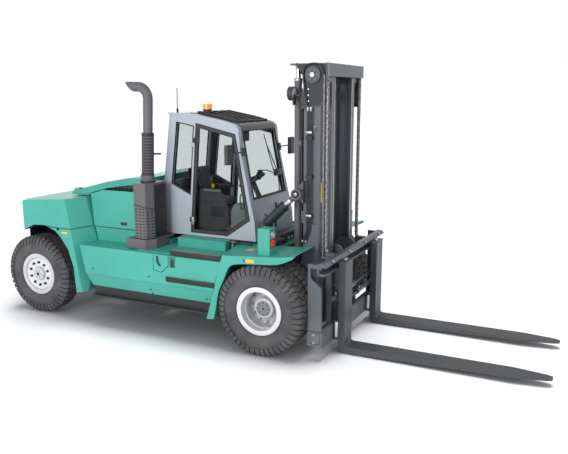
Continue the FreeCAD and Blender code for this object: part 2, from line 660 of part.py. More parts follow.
def front_fender(side):
    """A fender over the twin wheels: a sloping rear post, a flat deck and a nose that turns up."""
    outer = Piece("FenderOuter").add("side", [
        (-732, 364), (-628, 374), (-596, 520), (-590, 600), (-570, 692), (-543, 776), (-480, 899),
        Corner(-415, 1060, 60), Corner(-310, 1122, 120), (-175, 1138), (26, 1152), (220, 1168),
        (330, 1200), (455, 1262), (450, 1285), (330, 1262), (30, 1238), (-494, 1203)],
        *side_span(side, S.fender_inner_y, S.side_y))
    inner = Piece("FenderInner").add("side", [
        (-760, 300), (-655, 300), (-640, 520), (-630, 600), (-600, 700), (-560, 790), (-510, 920),
        (-455, 1090), (-330, 1150), (-175, 1160), (26, 1172), (220, 1188), (330, 1220), (500, 1300),
        (500, 1240), (-100, 700), (-500, 300)], *side_span(side, 600, S.side_y - 60))
    slot = box("BracketSlot", (-256, -64), side_span(side, 600, 792), (1100, 1300))
    shell = cut("FenderShell", outer, [inner, slot])
    shelf = Piece("FenderShelf").add("plan", [
        (-494, S.side_y * side), (-620, S.fender_inner_y * side), (-270, S.fender_inner_y * side),
        (-270, S.side_y * side)], 1186, 1203)
    riser = Piece("FenderRiser").add("plan", [
        (-494, S.side_y * side), (-620, S.fender_inner_y * side), (-604, S.fender_inner_y * side),
        (-478, S.side_y * side)], S.deck_z + 1, 1203)
    return fuse("FrontFender", [shell, shelf, riser])


fenders = [front_fender(side) for side in SIDES.values()]
keep("front_fenders", fuse("FrontFenders", fenders))

boards = []
for side in SIDES.values():
    boards.append(Piece("RunningBoard").add("front", [
        (side * 700, 400), (side * 1190, 400), (side * 1190, 420), (side * 1150, 430),
        (side * 1170, S.box_low_z - 1), (side * 700, S.box_low_z - 1)], -2590, -745))
keep("running_boards", fuse("RunningBoards", boards))

# plating under the cab, the raised floor of the front end and the brackets of the rear cab mounts
deck_parts = [box("Deck", (-1840, -640), (-1150, 1150), (S.box_top_z + 0.5, S.deck_z)),
              box("CabPlinth", (-1480, -745), (-745, 745), (S.deck_z - 1, 1238)),
              box("FrontDeck", (-650, -30), (-620, 620), (1175, S.front_deck_z)),
              box("DeckRiser", (-650, -630), (-620, 620), (S.box_top_z + 0.5, 1180))]
for side in SIDES.values():
    deck_parts.append(box("MountBracket", (-1770, -1630), side_span(side, 540, 685),
                          (S.deck_z - 1, 1180)))
deck_slots = [box("BeamSlot", (-256, -64), side_span(side, S.beam_y - S.beam_thick - 5, S.beam_y + 5),
                  (1100, 1300)) for side in SIDES.values()]
keep("cab_deck", cut("CabDeck", fuse("DeckWelded", deck_parts), deck_slots))

treads = []
for side in SIDES.values():
    treads.append(box("UpperTread", (-1250, -520), side_span(side, 1165, 1243), (S.deck_z + 1, 1182)))
    treads.append(box("LowerTread", (-1320, -620), side_span(side, 1200, 1262), (775, 838)))
keep("steps", cut("Steps", fuse("TreadsPlain", treads), boxes))

exhaust_body = Piece("ExhaustBody").add("plan", [
    (-1902, -1100), (-1715, -1100), (-1672, -980), (-1672, -700), (-1902, -700)], S.deck_z + 1, 1980)
exhaust_foot = Piece("ExhaustFoot").add("plan", [
    (-2030, -1118), (-1735, -1118), (-1640, -995), (-1640, -700), (-1902, -700), (-1902, -915),
    (-2030, -915)], S.deck_z + 1, 1248)
keep("exhaust_box", fuse("ExhaustBox", [exhaust_body, exhaust_foot]))

STACK_Y = -900
STACK_LOW, STACK_TOP = (-1816, 1985), (-1755, 3204)
STACK_RADIUS = 62
stack_pipe = bent_tube("ExhaustPipe", [(STACK_LOW[0], STACK_Y, STACK_LOW[1]),
                                       (STACK_TOP[0], STACK_Y, STACK_TOP[1]),
                                       (STACK_TOP[0] - 345, STACK_Y, STACK_TOP[1] + 8)], [150], STACK_RADIUS)
stack_foot = cylinder("StackFoot", "Z", (size(STACK_LOW[0]), size(STACK_Y)), 90, 1981, 2075)
stack_shield = bar("StackShield", (-1811, STACK_Y, 2080), (-1785, STACK_Y, 2607), STACK_RADIUS + 9)
outlet = Piece("StackOutlet").add("side", [(-2106, 3290), (-1949, 3120), (-2300, 3120), (-2300, 3290)],
                                  STACK_Y - 80, STACK_Y + 80)
keep("exhaust_stack", cut("Stack", fuse("StackWhole", [stack_pipe, stack_foot, stack_shield]), [outlet]))

posts = []
for side in SIDES.values():
    low, high = side_span(side, 1010, 1180)
    post = Piece("LampPost").add("side", [
        (-40, 1236), (117, 1245), (117, 1560), (-40, 1560)], low, high)
    low, high = side_span(side, 1030, 1160)
    post.cut("side", [(90, 1330), (130, 1330), (130, 1540), (90, 1540)], low, high)
    posts.append(post)
keep("lamp_posts", fuse("LampPosts", posts))
for name, low_z, high_z in (("headlamps", 1435, 1538), ("indicator_lamps", 1332, 1420)):
    lamps = [box(name, (91, 114), side_span(side, 1032, 1158), (low_z, high_z))
             for side in SIDES.values()]
    keep(name, fuse(name + "Pair", lamps))

# ---------------------------------------------------------------- cab

# Side view of the cab, the doors' opening in it, and the pane behind each door.
CAB_SIDE = [(-1857, 1245), (-1802, 1887), (-1674, 2868), (-1300, 2862), (-853, 2778), (-690, 2738),
            (-636, 2690), (-612, 2440), (-554, 2175), (-478, 1820), (-405, 1500), (-388, 1245)]
DOOR_SIDE = [(-1372, 1287), (-810, 1287), (-478, 1515), (-683, 2610), (-1262, 2740)]
REAR_SIDE_WINDOW = [(-1668, 1932), (-1374, 1797), (-1304, 2706), (-1566, 2752)]


def grown(outline, step):
    """The outline moved outwards by step along each of its edges' normals."""
    moved = []
    count = len(outline)
    area = sum(outline[i][0] * outline[(i + 1) % count][1] - outline[(i + 1) % count][0] * outline[i][1]
               for i in range(count))
    turn = 1 if area > 0 else -1
    for i in range(count):
        (ax, az), (bx, bz), (cx, cz) = outline[i - 1], outline[i], outline[(i + 1) % count]
        first = FreeCAD.Vector(bz - az, ax - bx, 0).normalize() * turn
        second = FreeCAD.Vector(cz - bz, bx - cx, 0).normalize() * turn
        way = (first + second).normalize()
        reach = step / way.dot(first)
        moved.append((bx + way.x * reach, bz + way.y * reach))
    return moved


def cab_form(name, inset):
    """The cab's outer form, or the same form drawn in by inset all round."""
    side_view = Piece(name + "Side").add("side", grown(CAB_SIDE, -inset), -S.cab_y, S.cab_y)
    half, roof_half = S.cab_y - inset, S.cab_roof_y - inset
    front_view = Piece(name + "Front").add("front", [
        (-half, S.cab_floor_z + inset), (half, S.cab_floor_z + inset), (roof_half, S.cab_roof_z + 10),
        (-roof_half, S.cab_roof_z + 10)], -1900, -350)
    return common(name, [side_view, front_view])


def rounded(outline, radius):
    """The outline with every corner rounded."""
    return [Corner(x, z, radius) for x, z in outline]


def across(name, outline, side):
    """A cutter through one side wall of the cab."""
    return Piece(name).add("side", outline, *side_span(side, 480, 620))


def glazing(name, low_z, low_half, high_z, high_half, rear, front):
    """A cutter for a window in the front or rear wall, between two x levels."""
    return Piece(name).add("front", [(-low_half, low_z), (low_half, low_z), (high_half, high_z),
                                     (-high_half, high_z)], rear, front)


windows = []
for side in SIDES.values():
    windows.append(across("DoorOpening", rounded(grown(DOOR_SIDE, S.door_gap.value), 12), side))
    windows.append(across("RearSideWindow", rounded(REAR_SIDE_WINDOW, 22), side))
windows.append(glazing("Windshield", 1775, 470, 2650, 458, -700, -370))
windows.append(glazing("RearWindow", 1950, 460, 2740, 450, -1860, -1600))
windows.append(box("RoofWindow", (-1270, -760), (-440, 440), (2640, 2900)))
cab_walls = cut("CabWalls", cab_form("CabOuter", 0), [cab_form("CabInner", S.cab_wall.value)] + windows)


def pane(name, inset, cutter):
    """A thin slice of the cab's skin, inset from its face, inside the cutter's outline."""
    outer_skin = cab_form(name + "Skin", inset)
    inner_skin = cab_form(name + "Core", inset + S.glass_thick.value)
    return common(name, [cut(name + "Slice", outer_skin, [inner_skin]), cutter])


panes = []
for side in SIDES.values():
    panes.append(pane("SidePane", 12, across("SidePaneCut", rounded(grown(REAR_SIDE_WINDOW, -2), 20), side)))
panes.append(pane("WindshieldPane", 12, glazing("WindshieldCut", 1777, 468, 2648, 456, -700, -370)))
panes.append(pane("RearPane", 12, glazing("RearCut", 1952, 458, 2738, 448, -1860, -1600)))
panes.append(pane("RoofPane", 8, box("RoofCut", (-1268, -762), (-438, 438), (2640, 2900))))
keep("cab_glass", fuse("CabGlass", panes))

bars = [Piece("GuardBar").add("side", [
    (-1345, 2870), (-1300, 2870), (-853, 2787), (-705, 2751), (-705, 2775), (-853, 2811), (-1300, 2894),
    (-1345, 2894)], y - 13, y + 13) for y in (-380, -190, 0, 190, 380)]
bars += [box("GuardTie", (x, x + 30), (-400, 400), (z, z + 20)) for x, z in ((-1340, 2872), (-740, 2762))]
keep("roof_guard", fuse("RoofGuard", bars))


# Each door turns on two pairs of knuckles, strung on a line just outside the skin.
HINGE_LOW = (-1380, 593, 1285)
HINGE_HIGH = (-1270, 579, 2742)
HINGE_LENGTH = math.dist(HINGE_LOW, HINGE_HIGH)
HINGE_STARTS = (90, 1150)


def hinge_knuckle(name, side, start, length):
    """One knuckle of a door hinge, start millimetres up the hinge line."""
    line = FreeCAD.Vector(HINGE_HIGH[0] - HINGE_LOW[0], (HINGE_HIGH[1] - HINGE_LOW[1]) * side,
                          HINGE_HIGH[2] - HINGE_LOW[2])
    way = FreeCAD.Vector(line).normalize()
    knuckle = doc.addObject("Part::Cylinder", name)
    knuckle.Radius = 13
    knuckle.Height = length
    knuckle.Placement = FreeCAD.Placement(
        FreeCAD.Vector(HINGE_LOW[0], HINGE_LOW[1] * side, HINGE_LOW[2]) + way * start,
        FreeCAD.Rotation(FreeCAD.Vector(0, 0, 1), way))
    return knuckle


def hinge_half(name, side, start, way_x):
    """A knuckle and its leaf, towards the door (way_x 1) or towards the pillar (-1)."""
    length = 60
    middle = (start + length / 2) / HINGE_LENGTH
    x, y, z = (low + (high - low) * middle for low, high in zip(HINGE_LOW, HINGE_HIGH))
    leaf_x = sorted((x, x + way_x * 70))
    pad_x = sorted((x + way_x * 18, x + way_x * 70))
    span = (z - length / 2 + 3, z + length / 2 - 3)
    return [hinge_knuckle(name + "Knuckle", side, start, length),
            box(name + "Leaf", leaf_x, side_span(side, y - 16, y - 6), span),
            box(name + "Pad", pad_x, side_span(side, y - 26, y - 10), span)]


def door(side, label):
    """A side door: a slim frame as thick as the wall around one tall pane, hinged at its rear edge."""
    skin = cut("DoorSkin", cab_form("DoorOuter", 0), [cab_form("DoorInner", S.cab_wall.value - 4)])
    leaf = common("DoorLeaf", [skin, across("DoorSlab", rounded(DOOR_SIDE, 45), side)])
    window = rounded(grown(DOOR_SIDE, -42), 30)
    frame = cut(f"DoorFrame{label}", leaf, [across("DoorWindow", window, side)])
    halves = [half for start in HINGE_STARTS for half in hinge_half("DoorHinge", side, start + 62, 1)]
    keep(f"door_{label}", fuse(f"Door{label}", [frame] + halves))
    glass_cut = across("DoorPaneCut", rounded(grown(DOOR_SIDE, -43), 29), side)
    keep(f"door_glass_{label}", pane(f"DoorPane{label}", 12, glass_cut))


pillar_hinges = [half for side in SIDES.values() for start in HINGE_STARTS
                 for half in hinge_half("PillarHinge", side, start, -1)]
roof_plate = box("RoofPlate", (-1700, -1350), (-568, 568), (2861, 2874))
keep("cab_shell", fuse("CabShell", [cab_walls, roof_plate] + pillar_hinges))
for label, side in SIDES.items():
    door(side, label)

feet = []
for x, low_z in ((-1700, 1181), (-698, S.deck_z + 1)):
    for side in SIDES.values():
        feet.append(cylinder("CabMount", "Z", (size(x), size(600 * side)), 44, low_z, 1244))
keep("cab_mounts", fuse("CabMounts", feet))

seat = Piece("Seat").add("side", [
    (-1560, 1560), (-1100, 1560), (-1060, 1630), (-1100, 1690), (-1440, 1680), (-1500, 2150),
    Corner(-1530, 2190, 30), (-1590, 2180), (-1620, 2080), (-1590, 1700)], -250, 250)
keep("seat", seat)
console = Piece("Console").add("side", [
    (-590, 1286), (-480, 1286), (-495, 1560), (-530, 1720), (-620, 1700), (-640, 1600)], -380, 380)
pedestal = box("SeatPedestal", (-1500, -1160), (-200, 200), (1286, 1559))
armrest = box("SideConsole", (-1560, -1080), (-430, -270), (1286, 1800))
column = bar("Column", (-570, 0, 1600), (-735, 0, 1945), 35)
inside_parts = [console, pedestal, armrest, column]
keep("cab_controls", fuse("CabControls", inside_parts))
STEERING_WHEEL_RADIUS = 185
GRIP = 14
ring = Piece("WheelRing").spin([
    (-GRIP, STEERING_WHEEL_RADIUS - 8), (-GRIP, STEERING_WHEEL_RADIUS + 8), (0, STEERING_WHEEL_RADIUS + 15),
    (GRIP, STEERING_WHEEL_RADIUS + 8), (GRIP, STEERING_WHEEL_RADIUS - 8), (0, STEERING_WHEEL_RADIUS - 15)])
spokes = Piece("WheelSpokes").add("side", [
    (-180, 34), (-40, 26), (-22, -40), (-40, -178), (40, -178), (22, -40), (40, 26), (180, 34), (180, 62),
    (-180, 62)], -8, 8)
steering_wheel = fuse("SteeringWheel", [ring, spokes])
steering_wheel.Placement.Rotation = FreeCAD.Rotation(FreeCAD.Vector(0, 1, 0), FreeCAD.Vector(-0.5, 0, 0.866))
keep("steering_wheel", steering_wheel, (size(-745), 0, size(1963)))

mirrors = []
for side in SIDES.values():
    mirrors.append(Piece("MirrorHead").add("plan", [
        Corner(-604, side * 828, 14), Corner(-548, side * 838, 22), Corner(-548, side * 968, 22),
        Corner(-604, side * 978, 14)], 2262, 2502))
    mirrors.append(Piece("MirrorFoot").add("side", [
        (-589, 2340), (-566, 2340), (-580, 2440), (-611, 2440)], *side_span(side, 500, 560)))
    mirrors.append(cylinder("MirrorArm", "Y", (size(-576), size(2390)), 9, *side_span(side, 512, 835)))
keep("beacon", fuse("Beacon", [cylinder("BeaconFoot", "Z", (size(-1247), size(-300)), 45, 2863, 2912),
                               cylinder("BeaconDome", "Z", (size(-1247), size(-300)), 62, 2908, 2990)]))
antenna = [cylinder("Whip", "Z", (size(-1588), size(-500)), 5, 2875, 3190),
           cylinder("WhipFoot", "Z", (size(-1588), size(-500)), 14, 2875, 2930)]
keep("mirrors_antenna", fuse("MirrorsAntenna", mirrors + antenna))

# ---------------------------------------------------------------- mast

HOSE_PULLEY_X, HOSE_PULLEY_Z = 415, 3336
HOSE_Y = 624
HOSE_RADIUS = 11


def upright(side):
    """One outer upright: a channel open to the inside, with a foot plate that widens to the pivot."""
    channel = Piece("Upright").add("plan", [(x, side * y) for x, y in (
        (S.upright_rear_x, S.upright_inner_y), (S.upright_rear_x + S.upright_flange, S.upright_inner_y),
        (S.upright_rear_x + S.upright_flange, S.upright_y - S.upright_web),
        (S.upright_front_x - S.upright_flange, S.upright_y - S.upright_web),
        (S.upright_front_x - S.upright_flange, S.upright_inner_y), (S.upright_front_x, S.upright_inner_y),
        (S.upright_front_x, S.upright_y), (S.upright_rear_x, S.upright_y))],
        S.upright_low_z, S.upright_top_z)
    foot = Piece("Foot").add("side", [
        (S.upright_front_x, S.upright_low_z), (S.upright_front_x, 1550), (410, 1550), Corner(300, 1200, 200),
        (170, 760), Corner(160, 450, 40), (285, S.upright_low_z)],
        *side_span(side, S.upright_y - 1, S.upright_y + 27))
    lug = Piece("PivotLug").add("side", [
        (S.upright_rear_x + 10, 300), (S.upright_rear_x + 10, 900), Corner(210, 730, 30),
        Corner(130, 690, 50),
        Corner(130, 550, 50), (220, 480)], *side_span(side, S.pivot_bracket_y + 6, S.upright_inner_y + 4))
    pin = cylinder("PivotPin", "Y", (S.tilt_pivot_x, S.tilt_pivot_z), S.pivot_radius,
                   *side_span(side, S.beam_y - S.beam_thick, S.upright_inner_y))
    ear = Piece("TiltEar").add("side", [
        (S.upright_rear_x + 20, 1800), (S.upright_rear_x + 20, 2080), (240, 2000), Corner(190, 1960, 30),
        Corner(190, 1890, 30), (235, 1870)], *side_span(side, 546, S.tilt_cylinder_y - 56))
    ear_pin = cylinder("TiltPin", "Y", (S.tilt_eye_x, S.tilt_eye_z), S.tilt_pin_radius,
                       *side_span(side, 600, S.tilt_cylinder_y + 48))
    clamp = box("CylinderClamp", (S.lift_cylinder_x, S.upright_rear_x + 5), side_span(side, 465, 535),
                (2500, 2560))
    seat = box("CylinderSeat", (115, 330), side_span(side, 440, 570), (S.upright_low_z, 290))
    return [channel, foot, lug, pin, ear, ear_pin, clamp, seat]


outer_parts = [item for side in SIDES.values() for item in upright(side)]
tie_span = (5 - S.upright_y, S.upright_y - 5)
outer_parts += [
    box("LowTie", (S.upright_rear_x - 35, S.upright_rear_x + 2), tie_span, (300, 480)),
    box("MiddleTie", (S.upright_rear_x - 30, S.upright_rear_x + 2), tie_span, (1550, 1700)),
    box("TopTie", (S.upright_rear_x - 30, S.upright_rear_x + 2), tie_span, (3020, 3180))]
outer_cut = [cylinder("BarrelBore", "Z", (S.lift_cylinder_x, S.lift_cylinder_y * side),
                      S.lift_barrel_radius + 0.5, 291, 3230) for side in SIDES.values()]
keep("outer_mast", cut("OuterMast", fuse("OuterMastWelded", outer_parts), outer_cut))

barrels = []
rods = []
for side in SIDES.values():
    spot = (S.lift_cylinder_x, S.lift_cylinder_y * side)
    tube = cylinder("LiftTube", "Z", spot, S.lift_barrel_radius, 292, 3262)
    gland = cylinder("LiftGland", "Z", spot, S.lift_barrel_radius + 4, 3240, 3300)
    bore = cylinder("LiftBore", "Z", spot, S.lift_rod_radius + 0.3, 340, 3310)
    barrels.append(cut("LiftBarrel", fuse("LiftBarrelWhole", [tube, gland]), [bore]))
    rods.append(cylinder("LiftRod", "Z", spot, S.lift_rod_radius, 620, S.mast_top_z - 22))
keep("lift_barrels", fuse("LiftBarrels", barrels))
keep("lift_rods", fuse("LiftRods", rods))


def inner_rail(side):
    """One inner rail: a channel open to the inside, with the stub roller that runs in the upright."""
    web = S.rail_web_outer_y
    rail = Piece("Rail").add("plan", [(x, side * y) for x, y in (
        (S.rail_rear_x, S.rail_inner_y), (S.rail_rear_x + S.rail_flange, S.rail_inner_y),
        (S.rail_rear_x + S.rail_flange, web - S.rail_web), (S.rail_front_x - S.rail_flange, web - S.rail_web),
        (S.rail_front_x - S.rail_flange, S.rail_inner_y), (S.rail_front_x, S.rail_inner_y),
        (S.rail_front_x, web), (S.rail_rear_x, web))], S.rail_low_z, S.mast_top_z - 60)
    middle_x = (S.upright_rear_x + S.upright_front_x) * 0.5
    roller_radius = (S.upright_front_x - S.upright_rear_x) * 0.5 - S.upright_flange - S.mast_clearance
    roller_span = side_span(side, web - 5, S.upright_y - S.upright_web - S.mast_clearance)
    rollers = [cylinder("RailRoller", "Y", (middle_x, size(z)), roller_radius, *roller_span)
               for z in (340, 1150)]
    # the cheek plate that carries the chain sheave above the upright
    cheek = Piece("SheaveCheek").add("side", [
        (S.rail_rear_x, 3200), (S.sheave_x + 40, 3200), (S.rail_front_x, 3260), (S.rail_front_x, 3410),
        (120, S.mast_top_z - 30), (120, 3400), (230, 3330)], *side_span(side, web - 5, 465))
    pin = cylinder("SheavePin", "Y", (S.sheave_x, S.sheave_z), 25, *side_span(side, 380, 596))
    plate = Piece("HeadPlate").add("side", [
        (176, S.mast_top_z - 1), (204, 3411), (257, 3375), (285, 3340), (285, 2972), (505, 2972),
        (576, 3060), (590, S.mast_top_z - 1)], *side_span(side, 592, 604))
    plate.cut("side", [(325, 2995), (372, 2995), (372, 3200), (325, 3200)], *side_span(side, 580, 610))
    return [rail, *rollers, cheek, pin, plate]


inner_parts = [item for side in SIDES.values() for item in inner_rail(side)]
inner_parts += [
    box("TopPlate", (110, 615), (-604, 604), (S.mast_top_z - 22, S.mast_top_z)),
    box("TopBeam", (592, 615), (-604, 604), (3320, S.mast_top_z - 21)),
    box("TopRear", (S.rail_rear_x, S.rail_rear_x + 40), (-400, 400), (3250, 3449)),
    box("LowTieInner", (S.rail_rear_x, S.rail_rear_x + 22), (-398, 398), (300, 480))]
keep("inner_mast", fuse("InnerMast", inner_parts))

sheaves = []
chain_parts = []
for side in SIDES.values():
    low, high = side_span(side, S.sheave_y - 34, S.sheave_y + 34)
    wheel = cylinder("Sheave", "Y", (S.sheave_x, S.sheave_z), S.sheave_radius, low, high)
    hole = cylinder("SheaveHole", "Y", (S.sheave_x, S.sheave_z), 25.06, low, high)
    sheaves.append(cut("ChainSheave", wheel, [hole]))
    sheaves.append(Piece("HosePulley").spin([(side * y, r) for y, r in (
        (605, 0), (652, 0), (652, 30), (640, 34), (640, 96), (632, 96), (624, 84), (616, 84), (608, 96),
        (605, 96))]))
    sheaves[-1].body.Placement.Base = FreeCAD.Vector(HOSE_PULLEY_X, 0, HOSE_PULLEY_Z)
    front_x = S.sheave_x + S.sheave_radius + 1
    chain_parts.append(box("ChainFall", (front_x, front_x + S.chain_thick), (low, high),
                           (1215, S.sheave_z)))
    fall_place = (size(HOSE_PULLEY_X + 142), size(HOSE_Y * side))
    chain_parts.append(cylinder("HoseFall", "Z", fall_place, HOSE_RADIUS, 1215, HOSE_PULLEY_Z))
keep("chain_sheaves", fuse("ChainSheaves", sheaves))
keep("lift_chains", fuse("LiftChains", chain_parts))

# hoses clamped along the uprights, each pair bending in to the mast's foot
hoses = []
clamps = []
for side in SIDES.values():
    for x in (354, 394):
        hoses.append(bent_tube("MastHose", [(x, HOSE_Y * side, 2940), (x, HOSE_Y * side, 1470),
                                            (x - 60, HOSE_Y * side, 1330)], [160], HOSE_RADIUS))
    for z in (1650, 2130, 2600):
        clamps.append(box("HoseClamp", (330, 414), side_span(side, S.upright_y, HOSE_Y + 14),
                          (z - 20, z + 20)))
keep("mast_hoses", fuse("MastHoses", hoses + clamps))

near = [box("LampBracket", (252, 339), (-616, -605), (2941, 3134)),
        box("LampArm", (190, 262), (-650, -612), (3088, 3106)),
        box("LampArmLow", (190, 262), (-650, -612), (2985, 3003)),
        box("LampYoke", (182, 196), (-690, -612), (2985, 3106)),
        cylinder("WorkLamp", "X", (size(-652), size(3120)), 82, 128, 186)]
far = [box("ValveBracket", (476, 541), (605, 622), (2946, 3123)),
       box("ValveBlock", (482, 536), (620, 658), (2985, 3090))]
keep("work_lamps", fuse("WorkLamps", near + far))

# ---------------------------------------------------------------- tilt cylinders

tilt_run = FreeCAD.Vector(S.tilt_eye_x.value - S.tilt_anchor_x.value, 0,
                          S.tilt_eye_z.value - S.tilt_anchor_z.value)
tilt_way = FreeCAD.Vector(tilt_run).normalize()


def along_tilt(distance):
    """A point on the tilt cylinder's axis, measured from its anchor pin."""
    return (S.tilt_anchor_x + tilt_way.x * distance, S.tilt_anchor_z + tilt_way.z * distance)


def tilt_cylinder(side, label):
    middle = S.tilt_cylinder_y * side
    (ax, az), (bx, bz), (cx, cz) = along_tilt(0), along_tilt(30), along_tilt(378)
    low, high = side_span(side, S.tilt_cylinder_y - 50, S.tilt_cylinder_y + 50)
    eye = cylinder("AnchorEye", "Y", (ax, az), 46, low, high)
    body = bar("TiltBody", (bx, middle, bz), (cx, middle, cz), S.tilt_barrel_radius)
    anchor_bore = cylinder("AnchorBore", "Y", (ax, az), S.tilt_pin_radius + 0.06, low, high)
    (dx, dz), (ex, ez) = along_tilt(150), along_tilt(390)
    rod_bore = bar("RodBore", (dx, middle, dz), (ex, middle, ez), S.tilt_rod_radius + 0.3)
    keep(f"tilt_barrel_{label}", cut(f"TiltBarrel{label}", fuse("TiltBarrelBody", [eye, body]),
                                     [anchor_bore, rod_bore]))
    (fx, fz), (gx, gz) = along_tilt(310), along_tilt(tilt_run.Length - 50)
    rod = bar("TiltRodBar", (fx, middle, fz), (gx, middle, gz), S.tilt_rod_radius)
    low, high = side_span(side, S.tilt_cylinder_y - 44, S.tilt_cylinder_y + 44)
    rod_eye = cylinder("RodEye", "Y", (S.tilt_eye_x, S.tilt_eye_z), 66, low, high)
    rod_eye_bore = cylinder("RodEyeBore", "Y", (S.tilt_eye_x, S.tilt_eye_z), 44, low, high)
    keep(f"tilt_rod_{label}", cut(f"TiltRod{label}", fuse("TiltRodBody", [rod, rod_eye]), [rod_eye_bore]))


for label, side in SIDES.items():
    tilt_cylinder(side, label)

# ---------------------------------------------------------------- carriage and forks
def carriage():
    """The wide carriage: rollers inside the rails, a grooved top bar, a low beam and side plates."""
    parts = []
    half = S.carriage_half
    for side in SIDES.values():
        parts.append(Piece("SidePlate").add("side", [
            (576, S.carriage_top_z), (576, 185), (751, 203), (742, 900), (606, 1016), (606, 1132),
            (745, 1132), (745, S.carriage_top_z)], *side_span(side, half - 30, half)))
        parts.append(box("EndBlock", (576, 760), side_span(side, half - 60, half + 6), (185, 365)))
        parts.append(Piece("RollerPlate").add("side", [
            (380, 200), (640, 200), (700, 300), (700, 1100), Corner(655, 1237, 90), Corner(425, 1237, 90),
            (380, 1120)], *side_span(side, 215, 245)))
        for z in (300, 1060):
            parts.append(cylinder("CarriageRoller", "Y", (size(449), size(z)), 84,
                                  *side_span(side, 240, 362)))
        parts.append(box("ChainAnchor", (572, 700), side_span(side, S.sheave_y - 34, S.sheave_y + 34),
                         (1120, 1200)))
        parts.append(box("HoseAnchor", (546, 700), side_span(side, HOSE_Y - 14, HOSE_Y + 14), (1135, 1165)))
        parts.append(box("Post", (690, 735), side_span(side, 760, 800), (380, 1055)))
    parts.append(Piece("TopBar").add("side", [
        (690, 1085), (715, 1046), (776, 1046), (806, 1062), (806, 1075), (712, 1075), (712, 1150),
        (806, 1150), (806, 1164), (776, 1197), (715, 1197), (690, 1160)], -half, half))
    parts.append(Piece("LowBeam").add("side", [
        (690, 165), (760, 165), (760, 364), (742, 382), (690, 382)], -half, half))
    return fuse("Carriage", parts)


keep("carriage", carriage())

# Each fork is moved by a cylinder on the other half of the carriage, one above the other.
POSITIONER_X = 775
POSITIONER_HEIGHTS = {"left": 700, "right": 560}
POSITIONER_ROD = 15
positioners = []
for label, side in SIDES.items():
    z = POSITIONER_HEIGHTS[label]
    spot = (size(POSITIONER_X), size(z))
    low, high = side_span(-side, 50, 800)
    barrel = fuse("Positioner", [cylinder("PositionerBarrel", "Y", spot, 30, low, high),
                                 cylinder("PositionerGland", "Y", spot, 36, *side_span(-side, 50, 90)),
                                 box("PositionerFoot", (736, POSITIONER_X), side_span(-side, 762, 798),
                                     (z - 30, z + 30)),
                                 box("PositionerStay", (701, POSITIONER_X), side_span(-side, 217, 243),
                                     (z - 30, z + 30))])
    positioners.append(cut("PositionerBored", barrel, [
        cylinder("PositionerBore", "Y", spot, POSITIONER_ROD + 3, *side_span(-side, 40, 797))]))
keep("fork_positioners", fuse("Positioners", positioners))


def fork(side, label):
    """An L-shaped fork: a shank that slides along the carriage and a blade tapered to its tip."""
    shank = S.fork_face_x - S.fork_thick
    profile = Piece("ForkSide").add("side", [
        (shank, S.fork_top_z), (shank, S.blade_low_z + 60), Corner(shank + 10, S.blade_low_z, 50),
        (S.fork_face_x + 200, S.blade_low_z), (S.fork_tip_x, S.blade_top_z - 18),
        (S.fork_tip_x, S.blade_top_z), Corner(S.fork_face_x, S.blade_top_z, 30),
        (S.fork_face_x, S.fork_top_z)], *side_span(side, S.fork_y - 125, S.fork_y + 125))
    low, high = S.fork_y - 125, S.fork_y + 125
    plan = Piece("ForkPlan").add("plan", [(x, side * y) for x, y in (
        (size(700), low), (size(700), high), (S.fork_tip_x - 420, high), (S.fork_tip_x - 60, S.fork_y + 70),
        (S.fork_tip_x, S.fork_y + 40), (S.fork_tip_x, S.fork_y - 40), (S.fork_tip_x - 60, S.fork_y - 70),
        (S.fork_tip_x - 420, low))], -10, 1200)
    blank = common("ForkBlank", [profile, plan])
    parts = [blank, box("ForkSlider", (717, shank + 5), side_span(side, S.fork_y - 90, S.fork_y + 90),
                        (1081, 1144))]
    # rollers that run along the low beam, in a bracket behind the shank
    for z in (178, 405):
        parts.append(box("RollerBracket", (766, shank + 5), side_span(side, S.fork_y - 160, S.fork_y + 160),
                         (z, z + 22)))
    for y in (S.fork_y - 126, S.fork_y + 126):
        parts.append(cylinder("ForkRoller", "Z", (size(796), y * side), 30, 199, 406))
    # the positioner's rod, from a lug behind the shank
    z = POSITIONER_HEIGHTS[label]
    parts.append(box("RodLug", (POSITIONER_X - 20, shank + 5), side_span(side, S.fork_y - 40, S.fork_y + 40),
                     (z - 25, z + 25)))
    low, high = side_span(side, S.fork_y - 1070, S.fork_y)
    parts.append(cylinder("PositionerRod", "Y", (size(POSITIONER_X), size(z)), POSITIONER_ROD, low, high))
    keep(f"fork_{label}", fuse(f"Fork{label}", parts))


for label, side in SIDES.items():
    fork(side, label)

doc.recompute()
for item in doc.Objects:
    if "Invalid" in item.State or "Error" in item.State:
        raise RuntimeError(f"{item.Label} failed: {item.State}")
for label, item in nodes.items():
    if item.Shape.isNull() or not item.Shape.isValid() or item.Shape.Volume <= 0:
        raise RuntimeError(f"{label} has no valid shape")

os.makedirs("parts", exist_ok=True)
for label, item in nodes.items():
    item.Shape.exportStep(f"parts/{label}.step")
    print(f"{label:22s} {len(item.Shape.Solids)} solids  {item.Shape.Volume / 1e9:8.4f} m3")
whole = Part.makeCompound([item.Shape for item in nodes.values()])
print("box", whole.BoundBox)
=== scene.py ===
import math

